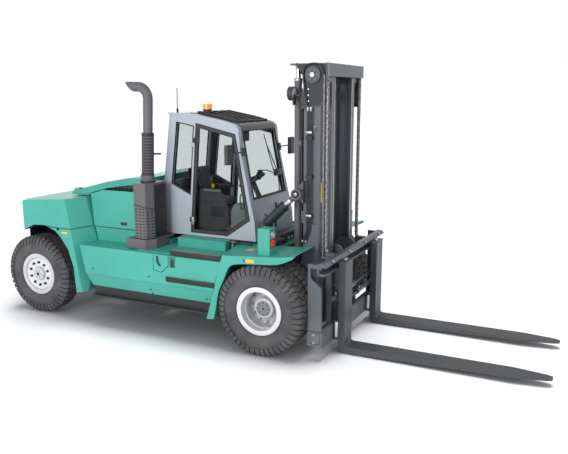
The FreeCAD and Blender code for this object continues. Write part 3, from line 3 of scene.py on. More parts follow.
import bmesh
import bpy
from bpy.props import FloatProperty, FloatVectorProperty, IntProperty, PointerProperty
from mathutils import Matrix, Vector
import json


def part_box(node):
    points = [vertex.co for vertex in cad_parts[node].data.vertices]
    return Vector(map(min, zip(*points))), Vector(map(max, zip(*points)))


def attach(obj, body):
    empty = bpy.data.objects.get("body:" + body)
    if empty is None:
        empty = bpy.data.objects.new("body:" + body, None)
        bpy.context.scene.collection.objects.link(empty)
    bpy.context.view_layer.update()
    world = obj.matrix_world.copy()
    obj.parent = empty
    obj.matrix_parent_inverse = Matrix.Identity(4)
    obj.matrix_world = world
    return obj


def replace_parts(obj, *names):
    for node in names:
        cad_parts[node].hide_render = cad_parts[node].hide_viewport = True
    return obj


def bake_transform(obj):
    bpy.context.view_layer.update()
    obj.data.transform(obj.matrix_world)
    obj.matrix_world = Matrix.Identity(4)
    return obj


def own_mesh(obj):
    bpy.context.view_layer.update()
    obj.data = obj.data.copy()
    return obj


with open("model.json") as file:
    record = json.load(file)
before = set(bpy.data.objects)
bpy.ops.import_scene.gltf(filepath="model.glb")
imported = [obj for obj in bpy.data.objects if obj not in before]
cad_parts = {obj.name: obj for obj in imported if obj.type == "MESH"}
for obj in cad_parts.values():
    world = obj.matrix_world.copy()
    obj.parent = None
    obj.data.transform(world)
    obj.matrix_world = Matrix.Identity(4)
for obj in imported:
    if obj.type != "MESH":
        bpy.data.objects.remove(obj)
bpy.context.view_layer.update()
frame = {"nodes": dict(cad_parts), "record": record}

bl_info = {
    "name": "Forklift truck",
    "version": (1, 0, 0),
    "blender": (4, 5, 0),
    "location": "View3D > Sidebar > Forklift",
    "description": "Dresses the heavy forklift truck: tyres, mast fittings, cab trim, paint and the studio",
    "category": "Add Mesh",
}

SIDES = {"left": 1, "right": -1}
NODES = frame["nodes"]
SLOT_OF = {part["node"]: part["material_slot"] for part in frame["record"]["subparts"]}

# Places given in metres from the middle of the front axle, on the ground, as the source gives them.
HUB_Z = 0.5625
REAR_X = -3.670
TYRE_WIDTH = 0.295
TYRE_Y, INNER_TYRE_Y, REAR_TYRE_Y = 1.1225, 0.795, 0.990
CHAIN_X, CHAIN_Y, CHAIN_TOP, CHAIN_PITCH = 0.579, 0.556, 3.318, 0.0375
SHEAVE_X, SHEAVE_Z = 0.455, 3.318
LINK_PLATES = ((-0.026, -0.014, 0.014, 0.026), (-0.020, -0.007, 0.007, 0.020))
PULLEY_X, PULLEY_Z, HOSE_Y = 0.415, 3.336, 0.624
TILT_ANCHOR_X, TILT_ANCHOR_Z, TILT_EYE_X, TILT_EYE_Z, TILT_Y = -0.185, 1.508, 0.251, 1.926, 0.700
FORK_Y, FORK_ROLLER_STEP = 0.607, 0.126
STACK_LOW, STACK_HIGH = Vector((-1.811, -0.900, 2.080)), Vector((-1.785, -0.900, 2.607))
VALVE_PORTS = (-0.24, -0.14, -0.04, 0.06, 0.16)
FLOOR_LEVEL = -0.002
CAMERA_PLACE, CAMERA_FALL, CAMERA_TURN, SENSOR_WIDTH = (4.144, -7.907, 3.102), 11.316, 25.601, 36

# The cab in side view, as (x, z): its windows, and each door with the pane in it.
REAR_WINDOW = ((-1.668, 1.932), (-1.374, 1.797), (-1.304, 2.706), (-1.566, 2.752))
DOOR_EDGE = ((-1.372, 1.287), (-0.810, 1.287), (-0.478, 1.515), (-0.683, 2.610), (-1.262, 2.740))
DOOR_WINDOW = ((-1.328, 1.331), (-0.822, 1.331), (-0.526, 1.535), (-0.720, 2.574), (-1.224, 2.687))
# The end windows, as (y, z).
WINDSCREEN = ((-0.470, 1.775), (0.470, 1.775), (0.458, 2.650), (-0.458, 2.650))
REAR_PANE = ((-0.460, 1.950), (0.460, 1.950), (0.450, 2.740), (-0.450, 2.740))
CAB_FRONT = ((1.500, -0.405), (1.820, -0.478), (2.175, -0.554), (2.440, -0.612), (2.690, -0.636))
# The rear wheel pocket from its back round to the front arch, and the inner mast's head plate, as (x, z).
POCKET = ((-4.285, 1.222), (-3.862, 1.222), (-3.800, 1.222), (-3.596, 1.312), (-3.385, 1.320),
    (-3.205, 1.254), (-3.120, 1.180), (-2.990, 1.013), (-2.912, 0.768))
HEAD_COVER = ((0.180, 3.462), (0.206, 3.412), (0.259, 3.377), (0.290, 3.341), (0.290, 2.977),
    (0.500, 2.977), (0.568, 3.062), (0.582, 3.462))
# The hood lid's sloping shoulder, as (x, z): its top edge, then its lower edge from the front back.
LID_TOP_Y = 0.8495
LID_SHOULDER = ((-2.936, 1.835), (-2.610, 1.925), (-2.280, 1.985), (-1.941, 2.004), (-1.941, 1.925),
    (-2.323, 1.880), (-2.594, 1.835))
# Nodes whose paint differs from that of their slot.
OWN_FINISH = {"door_left": "door_black", "door_right": "door_black", "steps": "tread_grey",
              "fork_left": "fork_grey", "fork_right": "fork_grey", "chain_sheaves": "fork_grey",
              "cab_controls": "dark_grey_and_cab_shade", "lift_barrels": "exhaust_grey",
              "tilt_rod_left": "exhaust_grey", "tilt_rod_right": "exhaust_grey"}


def windscreen_x(z):
    """How far forward the cab's front is at a height."""
    for (low, back), (high, front) in zip(CAB_FRONT, CAB_FRONT[1:]):
        if z <= high:
            break
    return back + (front - back) * (z - low) / (high - low)


# The colour sockets of a Mix node, which share their names with its number sockets.
MIX_A, MIX_B, MIX_OUT = 6, 7, 2


# ---------------------------------------------------------------- colours and nodes

def linear(hex_code):
    """An sRGB hex colour as the linear colour that Blender's sockets take."""
    channels = [int(hex_code[i:i + 2], 16) / 255 for i in (1, 3, 5)]
    return tuple(c / 12.92 if c <= 0.04045 else ((c + 0.055) / 1.055) ** 2.4 for c in channels) + (1.0,)


def add(tree, kind, links=None, sockets=None, **settings):
    """Adds a node with its settings, its socket values and the sockets that feed it."""
    node = tree.nodes.new(kind)
    for name, value in settings.items():
        setattr(node, name, value)
    for name, value in (sockets or {}).items():
        node.inputs[name].default_value = value
    for name, source in (links or {}).items():
        tree.links.new(source, node.inputs[name])
    return node


def blank_material(name):
    """A material with its output, a Principled shader and the place on the piece."""
    material = bpy.data.materials.new(name)
    material.use_nodes = True
    tree = material.node_tree
    tree.nodes.clear()
    shader = add(tree, "ShaderNodeBsdfPrincipled")
    add(tree, "ShaderNodeOutputMaterial", {"Surface": shader.outputs["BSDF"]})
    where = add(tree, "ShaderNodeTexCoord").outputs["Object"]
    return material, tree, shader, where


def sprayed_enamel(name, paint, dusty, roughness=0.38, coat=0.25, dust_top=0.75):
    """Two-pack machine enamel sprayed on steel plate: a soft even gloss with faint orange peel,
    shade that wanders a little from panel to panel, and road dust that thickens towards the ground."""
    material, tree, shader, where = blank_material(name)
    # panels differ over about 700 mm
    cloud = add(tree, "ShaderNodeTexNoise", {"Vector": where}, {"Scale": 1.4, "Detail": 3.0})
    shade = add(tree, "ShaderNodeMapRange", {"Value": cloud.outputs["Fac"]},
        {"From Min": 0.3, "From Max": 0.7, "To Min": 0.93, "To Max": 1.06})
    tone = add(tree, "ShaderNodeVectorMath", {"Scale": shade.outputs["Result"]}, operation="SCALE")
    tone.inputs[0].default_value = paint[:3]
    # dust lies in patches of about 60 mm and fades out above dust_top
    height = add(tree, "ShaderNodeSeparateXYZ", {"Vector": where})
    low = add(tree, "ShaderNodeMapRange", {"Value": height.outputs["Z"]},
        {"From Min": dust_top, "From Max": 0.15, "To Min": 0.0, "To Max": 0.55})
    patches = add(tree, "ShaderNodeTexNoise", {"Vector": where}, {"Scale": 17.0, "Detail": 6.0})
    amount = add(tree, "ShaderNodeMath", {0: low.outputs["Result"], 1: patches.outputs["Fac"]},
        operation="MULTIPLY")
    mixed = add(tree, "ShaderNodeMix", {0: amount.outputs[0], MIX_A: tone.outputs[0]}, {MIX_B: dusty},
        data_type="RGBA")
    tree.links.new(mixed.outputs[MIX_OUT], shader.inputs["Base Color"])
    # orange peel is about 4 mm across; drawn at 9 mm, the finest that shows at this size
    peel = add(tree, "ShaderNodeTexNoise", {"Vector": where}, {"Scale": 110.0, "Detail": 2.0})
    bump = add(tree, "ShaderNodeBump", {"Height": peel.outputs["Fac"]},
        {"Strength": 0.12, "Distance": 0.0006})
    tree.links.new(bump.outputs["Normal"], shader.inputs["Normal"])
    rough = add(tree, "ShaderNodeMapRange", {"Value": amount.outputs[0]},
        {"From Min": 0.0, "From Max": 0.4, "To Min": roughness, "To Max": 0.75})
    tree.links.new(rough.outputs["Result"], shader.inputs["Roughness"])
    shader.inputs["Coat Weight"].default_value = coat
    shader.inputs["Coat Roughness"].default_value = 0.12
    return material


def lugged_rubber(name, tread, dusty):
    """Natural rubber moulded in a steel mould: a dull black with a grey bloom and dry road dust."""
    material, tree, shader, where = blank_material(name)
    bloom = add(tree, "ShaderNodeTexNoise", {"Vector": where}, {"Scale": 5.0, "Detail": 5.0})
    amount = add(tree, "ShaderNodeMapRange", {"Value": bloom.outputs["Fac"]},
        {"From Min": 0.35, "From Max": 0.75, "To Min": 0.1, "To Max": 0.8})
    mixed = add(tree, "ShaderNodeMix", {0: amount.outputs["Result"]}, {MIX_A: tread, MIX_B: dusty},
        data_type="RGBA")
    tree.links.new(mixed.outputs[MIX_OUT], shader.inputs["Base Color"])
    # grit scuffs about 6 mm across
    scuff = add(tree, "ShaderNodeTexNoise", {"Vector": where}, {"Scale": 160.0, "Detail": 4.0})
    bump = add(tree, "ShaderNodeBump", {"Height": scuff.outputs["Fac"]},
        {"Strength": 0.35, "Distance": 0.001})
    tree.links.new(bump.outputs["Normal"], shader.inputs["Normal"])
    shader.inputs["Roughness"].default_value = 0.82
    shader.inputs["Specular IOR Level"].default_value = 0.35
    return material


def bare_metal(name, tone, roughness, grime, streak=(1.0, 1.0, 1.0)):
    """Machined or chromed steel: bright, with fine marks along one way and a film of grease."""
    material, tree, shader, where = blank_material(name)
    turned = add(tree, "ShaderNodeMapping", {"Vector": where}, {"Scale": streak})
    marks = add(tree, "ShaderNodeTexNoise", {"Vector": turned.outputs["Vector"]},
        {"Scale": 60.0, "Detail": 4.0})
    film = add(tree, "ShaderNodeMapRange", {"Value": marks.outputs["Fac"]},
        {"From Min": 0.35, "From Max": 0.7, "To Min": 0.0, "To Max": 0.7})
    mixed = add(tree, "ShaderNodeMix", {0: film.outputs["Result"]}, {MIX_A: tone, MIX_B: grime},
        data_type="RGBA")
    tree.links.new(mixed.outputs[MIX_OUT], shader.inputs["Base Color"])
    rough = add(tree, "ShaderNodeMapRange", {"Value": film.outputs["Result"]},
        {"To Min": roughness, "To Max": roughness + 0.25})
    tree.links.new(rough.outputs["Result"], shader.inputs["Roughness"])
    shader.inputs["Metallic"].default_value = 1.0
    return material


def safety_glass(name, tint):
    """Toughened float glass, 8 mm thick: a pale grey tint, a trace of dust and a hard reflection."""
    material, tree, shader, where = blank_material(name)
    # the film of dust thickens in patches of about 250 mm
    film = add(tree, "ShaderNodeTexNoise", {"Vector": where}, {"Scale": 4.0, "Detail": 5.0})
    rough = add(tree, "ShaderNodeMapRange", {"Value": film.outputs["Fac"]},
        {"From Min": 0.45, "From Max": 0.8, "To Min": 0.0, "To Max": 0.06})
    tree.links.new(rough.outputs["Result"], shader.inputs["Roughness"])
    shader.inputs["Base Color"].default_value = tint
    shader.inputs["Transmission Weight"].default_value = 1.0
    shader.inputs["IOR"].default_value = 1.06
    return material


def printed_film(name, tint):
    """Blank self-adhesive vinyl film: one flat colour with a soft gloss, its edges dulled by wear."""
    material, tree, shader, where = blank_material(name)
    worn = add(tree, "ShaderNodeTexNoise", {"Vector": where}, {"Scale": 30.0, "Detail": 4.0})
    tone = add(tree, "ShaderNodeMapRange", {"Value": worn.outputs["Fac"]},
        {"From Min": 0.3, "From Max": 0.7, "To Min": 0.8, "To Max": 1.05})
    shaded = add(tree, "ShaderNodeVectorMath", {"Scale": tone.outputs["Result"]}, operation="SCALE")
    shaded.inputs[0].default_value = tint[:3]
    tree.links.new(shaded.outputs[0], shader.inputs["Base Color"])
    shader.inputs["Roughness"].default_value = 0.3
    return material


def shaded_gap(name):
    """Near-black with a little settled dust: painted shade inside slots and notches, and the dark line of a
    joint between two plates.
    """
    material, tree, shader, where = blank_material(name)
    dirt = add(tree, "ShaderNodeTexNoise", {"Vector": where}, {"Scale": 12.0, "Detail": 3.0})
    mixed = add(tree, "ShaderNodeMix", {0: dirt.outputs["Fac"]}, {MIX_A: linear("#0E0F10"),
        MIX_B: linear("#26262A")}, data_type="RGBA")
    tree.links.new(mixed.outputs[MIX_OUT], shader.inputs["Base Color"])
    shader.inputs["Roughness"].default_value = 0.9
    shader.inputs["Specular IOR Level"].default_value = 0.1
    return material


def moulded_plastic(name, shade, roughness=0.55, grain=230.0):
    """Injection-moulded ABS or polypropylene: an even dull sheen with a fine spark-eroded grain."""
    material, tree, shader, where = blank_material(name)
    cells = add(tree, "ShaderNodeTexVoronoi", {"Vector": where}, {"Scale": grain})
    bump = add(tree, "ShaderNodeBump", {"Height": cells.outputs["Distance"]},
        {"Strength": 0.2, "Distance": 0.0005})
    tree.links.new(bump.outputs["Normal"], shader.inputs["Normal"])
    worn = add(tree, "ShaderNodeTexNoise", {"Vector": where}, {"Scale": 9.0, "Detail": 3.0})
    tone = add(tree, "ShaderNodeMapRange", {"Value": worn.outputs["Fac"]},
        {"From Min": 0.3, "From Max": 0.7, "To Min": 0.85, "To Max": 1.2})
    shaded = add(tree, "ShaderNodeVectorMath", {"Scale": tone.outputs["Result"]}, operation="SCALE")
    shaded.inputs[0].default_value = shade[:3]
    tree.links.new(shaded.outputs[0], shader.inputs["Base Color"])
    shader.inputs["Roughness"].default_value = roughness
    return material


def lamp_lens(name, tint, glow=0.0):
    """Moulded polycarbonate lens over a bright reflector, with 12 mm prism ribs on its inside."""
    material, tree, shader, where = blank_material(name)
    ribs = add(tree, "ShaderNodeTexWave", {"Vector": where}, {"Scale": 26.0}, bands_direction="Y")
    bump = add(tree, "ShaderNodeBump", {"Height": ribs.outputs["Fac"]},
        {"Strength": 0.5, "Distance": 0.002})
    tree.links.new(bump.outputs["Normal"], shader.inputs["Normal"])
    shader.inputs["Base Color"].default_value = tint
    shader.inputs["Roughness"].default_value = 0.12
    shader.inputs["Coat Weight"].default_value = 0.8
    shader.inputs["Emission Color"].default_value = tint
    shader.inputs["Emission Strength"].default_value = glow
    return material


def woven_cloth(name, shade, fleck):
    """Flat-woven polyester seat cloth: matt, with a lighter fleck where the threads cross."""
    material, tree, shader, where = blank_material(name)
    # threads are 1 mm apart; drawn 8 mm apart, the finest that shows
    weave = add(tree, "ShaderNodeTexChecker", {"Vector": where}, {"Scale": 125.0, "Color1": shade,
        "Color2": fleck})
    tree.links.new(weave.outputs["Color"], shader.inputs["Base Color"])
    bump = add(tree, "ShaderNodeBump", {"Height": weave.outputs["Fac"]},
        {"Strength": 0.4, "Distance": 0.001})
    tree.links.new(bump.outputs["Normal"], shader.inputs["Normal"])
    shader.inputs["Roughness"].default_value = 0.95
    shader.inputs["Sheen Weight"].default_value = 0.4
    return material


DUST = linear("#8C8A82")
FINISHES = {}


def mix_finishes(colours):
    """The truck's finishes, one for each material slot of the record, and those of the added pieces."""
    FINISHES.update({
        "body_green": sprayed_enamel("Sprayed enamel, body green", tuple(colours.body), linear("#5E8C80"),
                                     roughness=0.48, coat=0.08),
        "cab_grey": sprayed_enamel("Sprayed enamel, cab grey", tuple(colours.cab), DUST, roughness=0.45),
        "mast_grey": sprayed_enamel("Sprayed enamel, mast grey", tuple(colours.mast), DUST, roughness=0.45,
                                    coat=0.15),
        "exhaust_grey": sprayed_enamel("Heat-proof paint, warm grey", linear("#5D5A5E"), DUST,
                                       roughness=0.6, coat=0.0),
        "dark_steel": sprayed_enamel("Chassis black", linear("#1C1F20"), linear("#3A3B3A"), roughness=0.55,
                                     coat=0.05),
        "rim_silver": sprayed_enamel("Sprayed enamel, wheel silver", linear("#C9CACC"), linear("#9E9A92"),
                                     roughness=0.35, dust_top=1.1),
        "cast_grey": sprayed_enamel("Painted casting, grey", linear("#77797C"), DUST, roughness=0.6,
                                    coat=0.0),
        "tyre": lugged_rubber("Moulded tyre rubber", linear("#403F41"), linear("#656364")),
        "chain_steel": bare_metal("Greased leaf chain", linear("#9A9896"), 0.42, linear("#242323")),
        "chrome_rod": bare_metal("Hard chromed rod", linear("#D8DADC"), 0.12, linear("#9A9B9C"),
                                 (1, 1, 0.05)),
        "glass": safety_glass("Toughened safety glass", linear("#DCDFDF")),
        "lamp_clear": lamp_lens("Clear lamp lens", linear("#B4BAC0")),
        "lamp_orange": lamp_lens("Orange lamp lens", linear("#F0491E"), 0.15),
        "beacon_orange": lamp_lens("Amber beacon dome", linear("#F59A1E"), 0.2),
        "black_plastic": moulded_plastic("Moulded plastic, black", linear("#26282A")),
        "hose_rubber": moulded_plastic("Hydraulic hose cover", linear("#1E1F21"), 0.6, 400.0),
        "seat_cloth": woven_cloth("Woven seat cloth", linear("#2C2E31"), linear("#44474B")),
        "ring_white": sprayed_enamel("Sprayed enamel, rim white", linear("#DCDDDF"), linear("#B5B1A8"),
                                     roughness=0.32, dust_top=1.0),
        # black heat-proof paint, also the painted shade over the exhaust's front face
        "exhaust_black_and_shade": sprayed_enamel("Heat-proof paint, black", linear("#222428"), DUST, roughness=0.6,
                                       coat=0.0),
        "tread_grey": sprayed_enamel("Pressed tread plate, black", linear("#17191A"), linear("#3A3B3A"),
                                     roughness=0.55, coat=0.0),
        "door_black": sprayed_enamel("Sprayed enamel, door frame black", linear("#26282B"), DUST,
                                     roughness=0.45, coat=0.1),
        "fork_grey": sprayed_enamel("Sprayed enamel, fork grey", linear("#373B40"), linear("#565756"),
                                    roughness=0.5, coat=0.1, dust_top=0.3),
        "rod_grey": bare_metal("Ground steel rod", linear("#A9A7A4"), 0.3, linear("#6E6A66")),
        "zinc_fitting": bare_metal("Zinc-plated fitting", linear("#B4B6B8"), 0.35, linear("#8C8E8F")),
        "dark_fitting": bare_metal("Blackened steel fitting", linear("#4A4C4F"), 0.45, linear("#2B2C2E")),
        "seal_rubber": moulded_plastic("Extruded EPDM seal", linear("#17181A"), 0.7, 500.0),
        "moulded_grey": moulded_plastic("Moulded plastic, grey", linear("#6A7473"), 0.6),
        "knob_yellow": moulded_plastic("Moulded plastic, yellow", linear("#E8B400"), 0.4),
        "film_yellow": printed_film("Blank vinyl film, yellow", linear("#F2C230")),
        "film_blue": printed_film("Blank vinyl film, blue", linear("#2E5FA3")),
        # painted shade: a darker green for recesses, standing for the shade that falls in them
        "recess_painted_shade": sprayed_enamel("Sprayed enamel in a recess", linear("#1C6E5E"), DUST, roughness=0.5,
                                      coat=0.1),
        # painted shade for the floors of slots and notches; also the dark line of joints
        "slot_shade_and_joint_black": shaded_gap("Open slot"),
        # near-black with a little settled dust, for the skin inside the wheel pockets
        "underseal": shaded_gap("Bitumen underseal"),
        # dark grey moulded plastic of the console and controls, also the painted shade inside the cab
        "dark_grey_and_cab_shade": moulded_plastic("Vacuum-formed lining, dark grey", linear("#3E3D3F"), 0.7),
        "roof_tint": moulded_plastic("Tinted polycarbonate, black", linear("#1B1D20"), 0.16, 60.0),
    })


# ---------------------------------------------------------------- modelling by hand

front_low, front_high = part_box("front_tyres_left")
AXLE_X = (front_low.x + front_high.x) / 2


def at(x, y, z):
    """A place given from the middle of the front axle, on the ground."""
    return Vector((AXLE_X + x, y, z))


def settle():
    """Object mode with nothing selected, so that what follows acts on its own piece."""
    if bpy.context.object and bpy.context.object.mode != "OBJECT":
        bpy.ops.object.mode_set(mode="OBJECT")
    bpy.ops.object.select_all(action="DESELECT")


def take(piece):
    """Object mode with only this piece selected."""
    settle()
    bpy.context.view_layer.objects.active = piece
    piece.select_set(True)


def edit(piece):
    """Edit mode on one piece."""
    take(piece)
    bpy.ops.object.mode_set(mode="EDIT")


def pick(kind, test):
    """In edit mode, selects only the verts, edges or faces that pass the test."""
    mesh = bpy.context.edit_object.data
    bpy.ops.mesh.select_mode(type={"verts": "VERT", "edges": "EDGE", "faces": "FACE"}[kind])
    bpy.ops.mesh.select_all(action="DESELECT")
    shape = bmesh.from_edit_mesh(mesh)
    for item in getattr(shape, kind):
        if test(item):
            item.select_set(True)
    shape.select_flush_mode()
    bmesh.update_edit_mesh(mesh)


def draw_line(name, points):
    """A run of edges through the points, drawn by extruding a single vertex from each to the next."""
    settle()
    bpy.ops.mesh.primitive_plane_add(size=0.01, location=points[0])
    piece = bpy.context.object
    piece.name = name
    bpy.ops.object.transform_apply()
    edit(piece)
    bpy.ops.mesh.select_mode(type="VERT")
    bpy.ops.mesh.merge(type="CENTER")
    last = Vector(points[0])
    for point in points[1:]:
        step = Vector(point) - last
        bpy.ops.mesh.extrude_region_move(TRANSFORM_OT_translate={"value": step})
        last = Vector(point)
    return piece


def turn_profile(name, profile, middle, steps):
    """A closed profile of (y, radius) turned about the Y axis through middle; stays in edit mode."""
    piece = draw_line(name, [(middle[0], middle[1] + y, middle[2] + r) for y, r in profile])
    bpy.ops.mesh.select_all(action="SELECT")
    pick("verts", lambda v: len(v.link_edges) == 1)
    bpy.ops.mesh.edge_face_add()
    bpy.ops.mesh.select_all(action="SELECT")
    bpy.ops.mesh.spin(steps=steps, angle=math.tau, center=middle, axis=(0, 1, 0))
    bpy.ops.mesh.select_all(action="SELECT")
    bpy.ops.mesh.remove_doubles(threshold=0.0002)
    bpy.ops.mesh.normals_make_consistent(inside=False)
    return piece


def plate(name, outline, y, depth, rim=0.002):
    """A flat plate: an outline of (x, z) at level y, pulled through by depth along Y."""
    piece = draw_line(name, [at(px, y, pz) for px, pz in outline])
    pick("verts", lambda v: len(v.link_edges) == 1)
    bpy.ops.mesh.edge_face_add()
    bpy.ops.mesh.select_all(action="SELECT")
    bpy.ops.mesh.edge_face_add()
    bpy.ops.mesh.extrude_region_move(TRANSFORM_OT_translate={"value": (0, depth, 0)})
    bpy.ops.mesh.select_all(action="SELECT")
    bpy.ops.mesh.normals_make_consistent(inside=False)
    if rim:
        pick("faces", lambda f: abs(f.normal.y) > 0.9)
        bpy.ops.mesh.bevel(offset=rim, segments=1, affect="EDGES")
    return piece


def block(name, x, y, z, rim=0.003, turn=(0, 0, 0)):
    """A block between two levels along each axis, with its edges broken; it may be turned in place."""
    settle()
    middle = at(sum(x) / 2, sum(y) / 2, sum(z) / 2)
    bpy.ops.mesh.primitive_cube_add(size=1, location=middle)
    piece = bpy.context.object
    piece.name = name
    piece.scale = [abs(b - a) for a, b in (x, y, z)]
    bpy.ops.object.transform_apply(location=False, rotation=False, scale=True)
    piece.rotation_euler = turn
    edit(piece)
    bpy.ops.mesh.select_all(action="SELECT")
    bpy.ops.mesh.bevel(offset=rim, segments=2, affect="EDGES")
    return piece


def rod(name, start, end, radius, sides=20, rim=0.002):
    """A round bar between two places, with its rims broken."""
    settle()
    start, end = at(*start), at(*end)
    run = end - start
    bpy.ops.mesh.primitive_cylinder_add(vertices=sides, radius=radius, depth=run.length,
        location=(start + end) / 2, rotation=run.to_track_quat("Z", "Y").to_euler())
    piece = bpy.context.object
    piece.name = name
    edit(piece)
    pick("faces", lambda f: len(f.verts) == sides)
    bpy.ops.mesh.bevel(offset=rim, segments=2, affect="EDGES")
    return piece


def ring(name, middle, normal, radius, thick, sides=40):
    """A round bead: a torus about a place, facing along normal."""
    settle()
    bpy.ops.mesh.primitive_torus_add(location=at(*middle), rotation=Vector(normal).to_track_quat("Z",
        "Y").to_euler(), major_radius=radius, minor_radius=thick, major_segments=sides, minor_segments=10)
    piece = bpy.context.object
    piece.name = name
    return piece


def hose(name, points, radius, closed=False, straight=False):
    """A hose or a bead of rubber along a smooth spline, or along straight runs."""
    settle()
    bpy.ops.curve.primitive_nurbs_path_add()
    piece = bpy.context.object
    piece.name = name
    curve = piece.data
    curve.splines.clear()
    run = curve.splines.new("POLY" if straight else "NURBS")
    run.points.add(len(points) - 1)
    for knot, place in zip(run.points, points):
        knot.co = (*at(*place), 1)
    run.use_cyclic_u = closed
    if not straight:
        run.order_u = 3
        run.use_endpoint_u = not closed
    curve.resolution_u = 6
    curve.bevel_depth = radius
    curve.bevel_resolution = 2
    curve.use_fill_caps = True
    bpy.ops.object.convert(target="MESH")
    return bpy.context.object


def gather(name, pieces):
    """One piece from several, each at its place."""
    for piece in pieces:
        take(piece)
        bpy.ops.object.transform_apply()
    settle()
    for piece in pieces:
        piece.select_set(True)
    bpy.context.view_layer.objects.active = pieces[0]
    if len(pieces) > 1:
        bpy.ops.object.join()
    pieces[0].name = name
    return pieces[0]


def spread(piece, moves):
    """The piece and copies of it set off by the moves, each copy with its own mesh, as one piece."""
    take(piece)
    bpy.ops.object.transform_apply()
    copies = [piece]
    for move in moves:
        twin = piece.copy()
        twin.data = piece.data.copy()
        twin.matrix_world = move
        bpy.context.scene.collection.objects.link(twin)
        copies.append(twin)
    return gather(piece.name, copies)


def shifts(*offsets):
    return [Matrix.Translation(offset) for offset in offsets]


def turns(middle, count, axis="Y"):
    """The moves that set count pieces evenly round a middle, the first left where it is."""
    centre = Matrix.Translation(at(*middle))
    return [centre @ Matrix.Rotation(math.tau * i / count, 4, axis) @ centre.inverted()
        for i in range(1, count)]


def slotted_sheet(name, corner, across, up, columns, rows, wall, depth):
    """A sheet from a corner along two edges, with even rows of slots pressed in; their floors are
    its second finish, the painted shade inside them. Its face is on the side that across x up points to."""
    settle()
    bpy.ops.mesh.primitive_grid_add(x_subdivisions=columns, y_subdivisions=rows, size=1)
    piece = bpy.context.object
    piece.name = name
    across, up = Vector(across), Vector(up)
    out = across.cross(up).normalized()
    place = at(*corner) + across / 2 + up / 2
    piece.matrix_world = Matrix(((across.x, up.x, out.x, place.x), (across.y, up.y, out.y, place.y),
        (across.z, up.z, out.z, place.z), (0, 0, 0, 1)))
    bpy.ops.object.transform_apply()
    press_slots(piece, wall, depth, lambda f: True)
    return piece


def press_slots(piece, wall, depth, test):
    """Presses a slot into each face that passes the test and gives its floor the second finish, the painted
    shade inside the slot.
    """
    edit(piece)
    pick("faces", test)
    bpy.ops.mesh.inset(thickness=wall, use_individual=True)
    bpy.ops.mesh.inset(thickness=0.0005, depth=-depth, use_individual=True)
    shape = bmesh.from_edit_mesh(piece.data)
    for face in shape.faces:
        if face.select:
            face.material_index = 1
    bmesh.update_edit_mesh(piece.data)
    settle()


def finished(piece, body, finish, second=None, smooth_angle=35):
    """Applies the piece's place, shades it, gives it its finish and lets it ride on its body, if any."""
    take(piece)
    bpy.ops.object.transform_apply()
    bpy.ops.object.shade_smooth_by_angle(angle=math.radians(smooth_angle))
    piece.data.materials.append(FINISHES[finish])
    if second:
        piece.data.materials.append(FINISHES[second])
    if body:
        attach(piece, body)
    settle()
    return piece


def joined(name, pieces, body, finish):
    """One finished piece from several."""
    return finished(gather(name, pieces), body, finish)


# ---------------------------------------------------------------- settings

class ForkliftColours(bpy.types.PropertyGroup):
    """The truck's paints."""
    body: FloatVectorProperty(name="Body green",
        description="Enamel of the chassis boxes, fenders and weight", subtype="COLOR", size=4, min=0,
        max=1, default=linear("#3EA293"))
    cab: FloatVectorProperty(name="Cab grey", description="Enamel of the cab's panels and doors",
        subtype="COLOR", size=4, min=0, max=1, default=linear("#A4ACB6"))
    mast: FloatVectorProperty(name="Mast grey", description="Enamel of the mast, carriage and forks",
        subtype="COLOR", size=4, min=0, max=1, default=linear("#4E545A"))


class ForkliftTyres(bpy.types.PropertyGroup):
    """The tread of all six tyres."""
    lugs: IntProperty(name="Lugs", description="Lugs round the tread", default=46, min=12, max=80)
    lug_depth: FloatProperty(name="Lug depth", description="Height of the lugs over the groove floor",
        default=0.022, min=0.005, max=0.05, unit="LENGTH")


class ForkliftStudio(bpy.types.PropertyGroup):
    """The camera and the lamps."""
    lens: FloatProperty(name="Lens", description="Focal length on a 36 mm sensor", default=41.78, min=10,
        max=200)
    key_power: FloatProperty(name="Key lamp", description="Power of the large lamp beside the camera",
        default=1100.0, min=0, unit="POWER")
    floor_power: FloatProperty(name="Floor sun", description="Strength of the sun on the floor",
        default=2.6, min=0)
    floor_lift: FloatProperty(name="Floor lift", description="Brightness added to the floor as it is seen",
        default=0.02, min=0)
    sky: FloatProperty(name="Room light", description="Strength of the even light from all round",
        default=0.55, min=0)


# ---------------------------------------------------------------- operators

class FORKLIFT_OT_finishes(bpy.types.Operator):
    """Mix the finishes and put them on the carried-over parts"""
    bl_idname = "forklift.finishes"
    bl_label = "Paint the truck"

    def execute(self, context):
        mix_finishes(context.scene.forklift_colours)
        for name, piece in NODES.items():
            piece.material_slots[0].material = FINISHES[OWN_FINISH.get(name, SLOT_OF[name])]
        return {"FINISHED"}


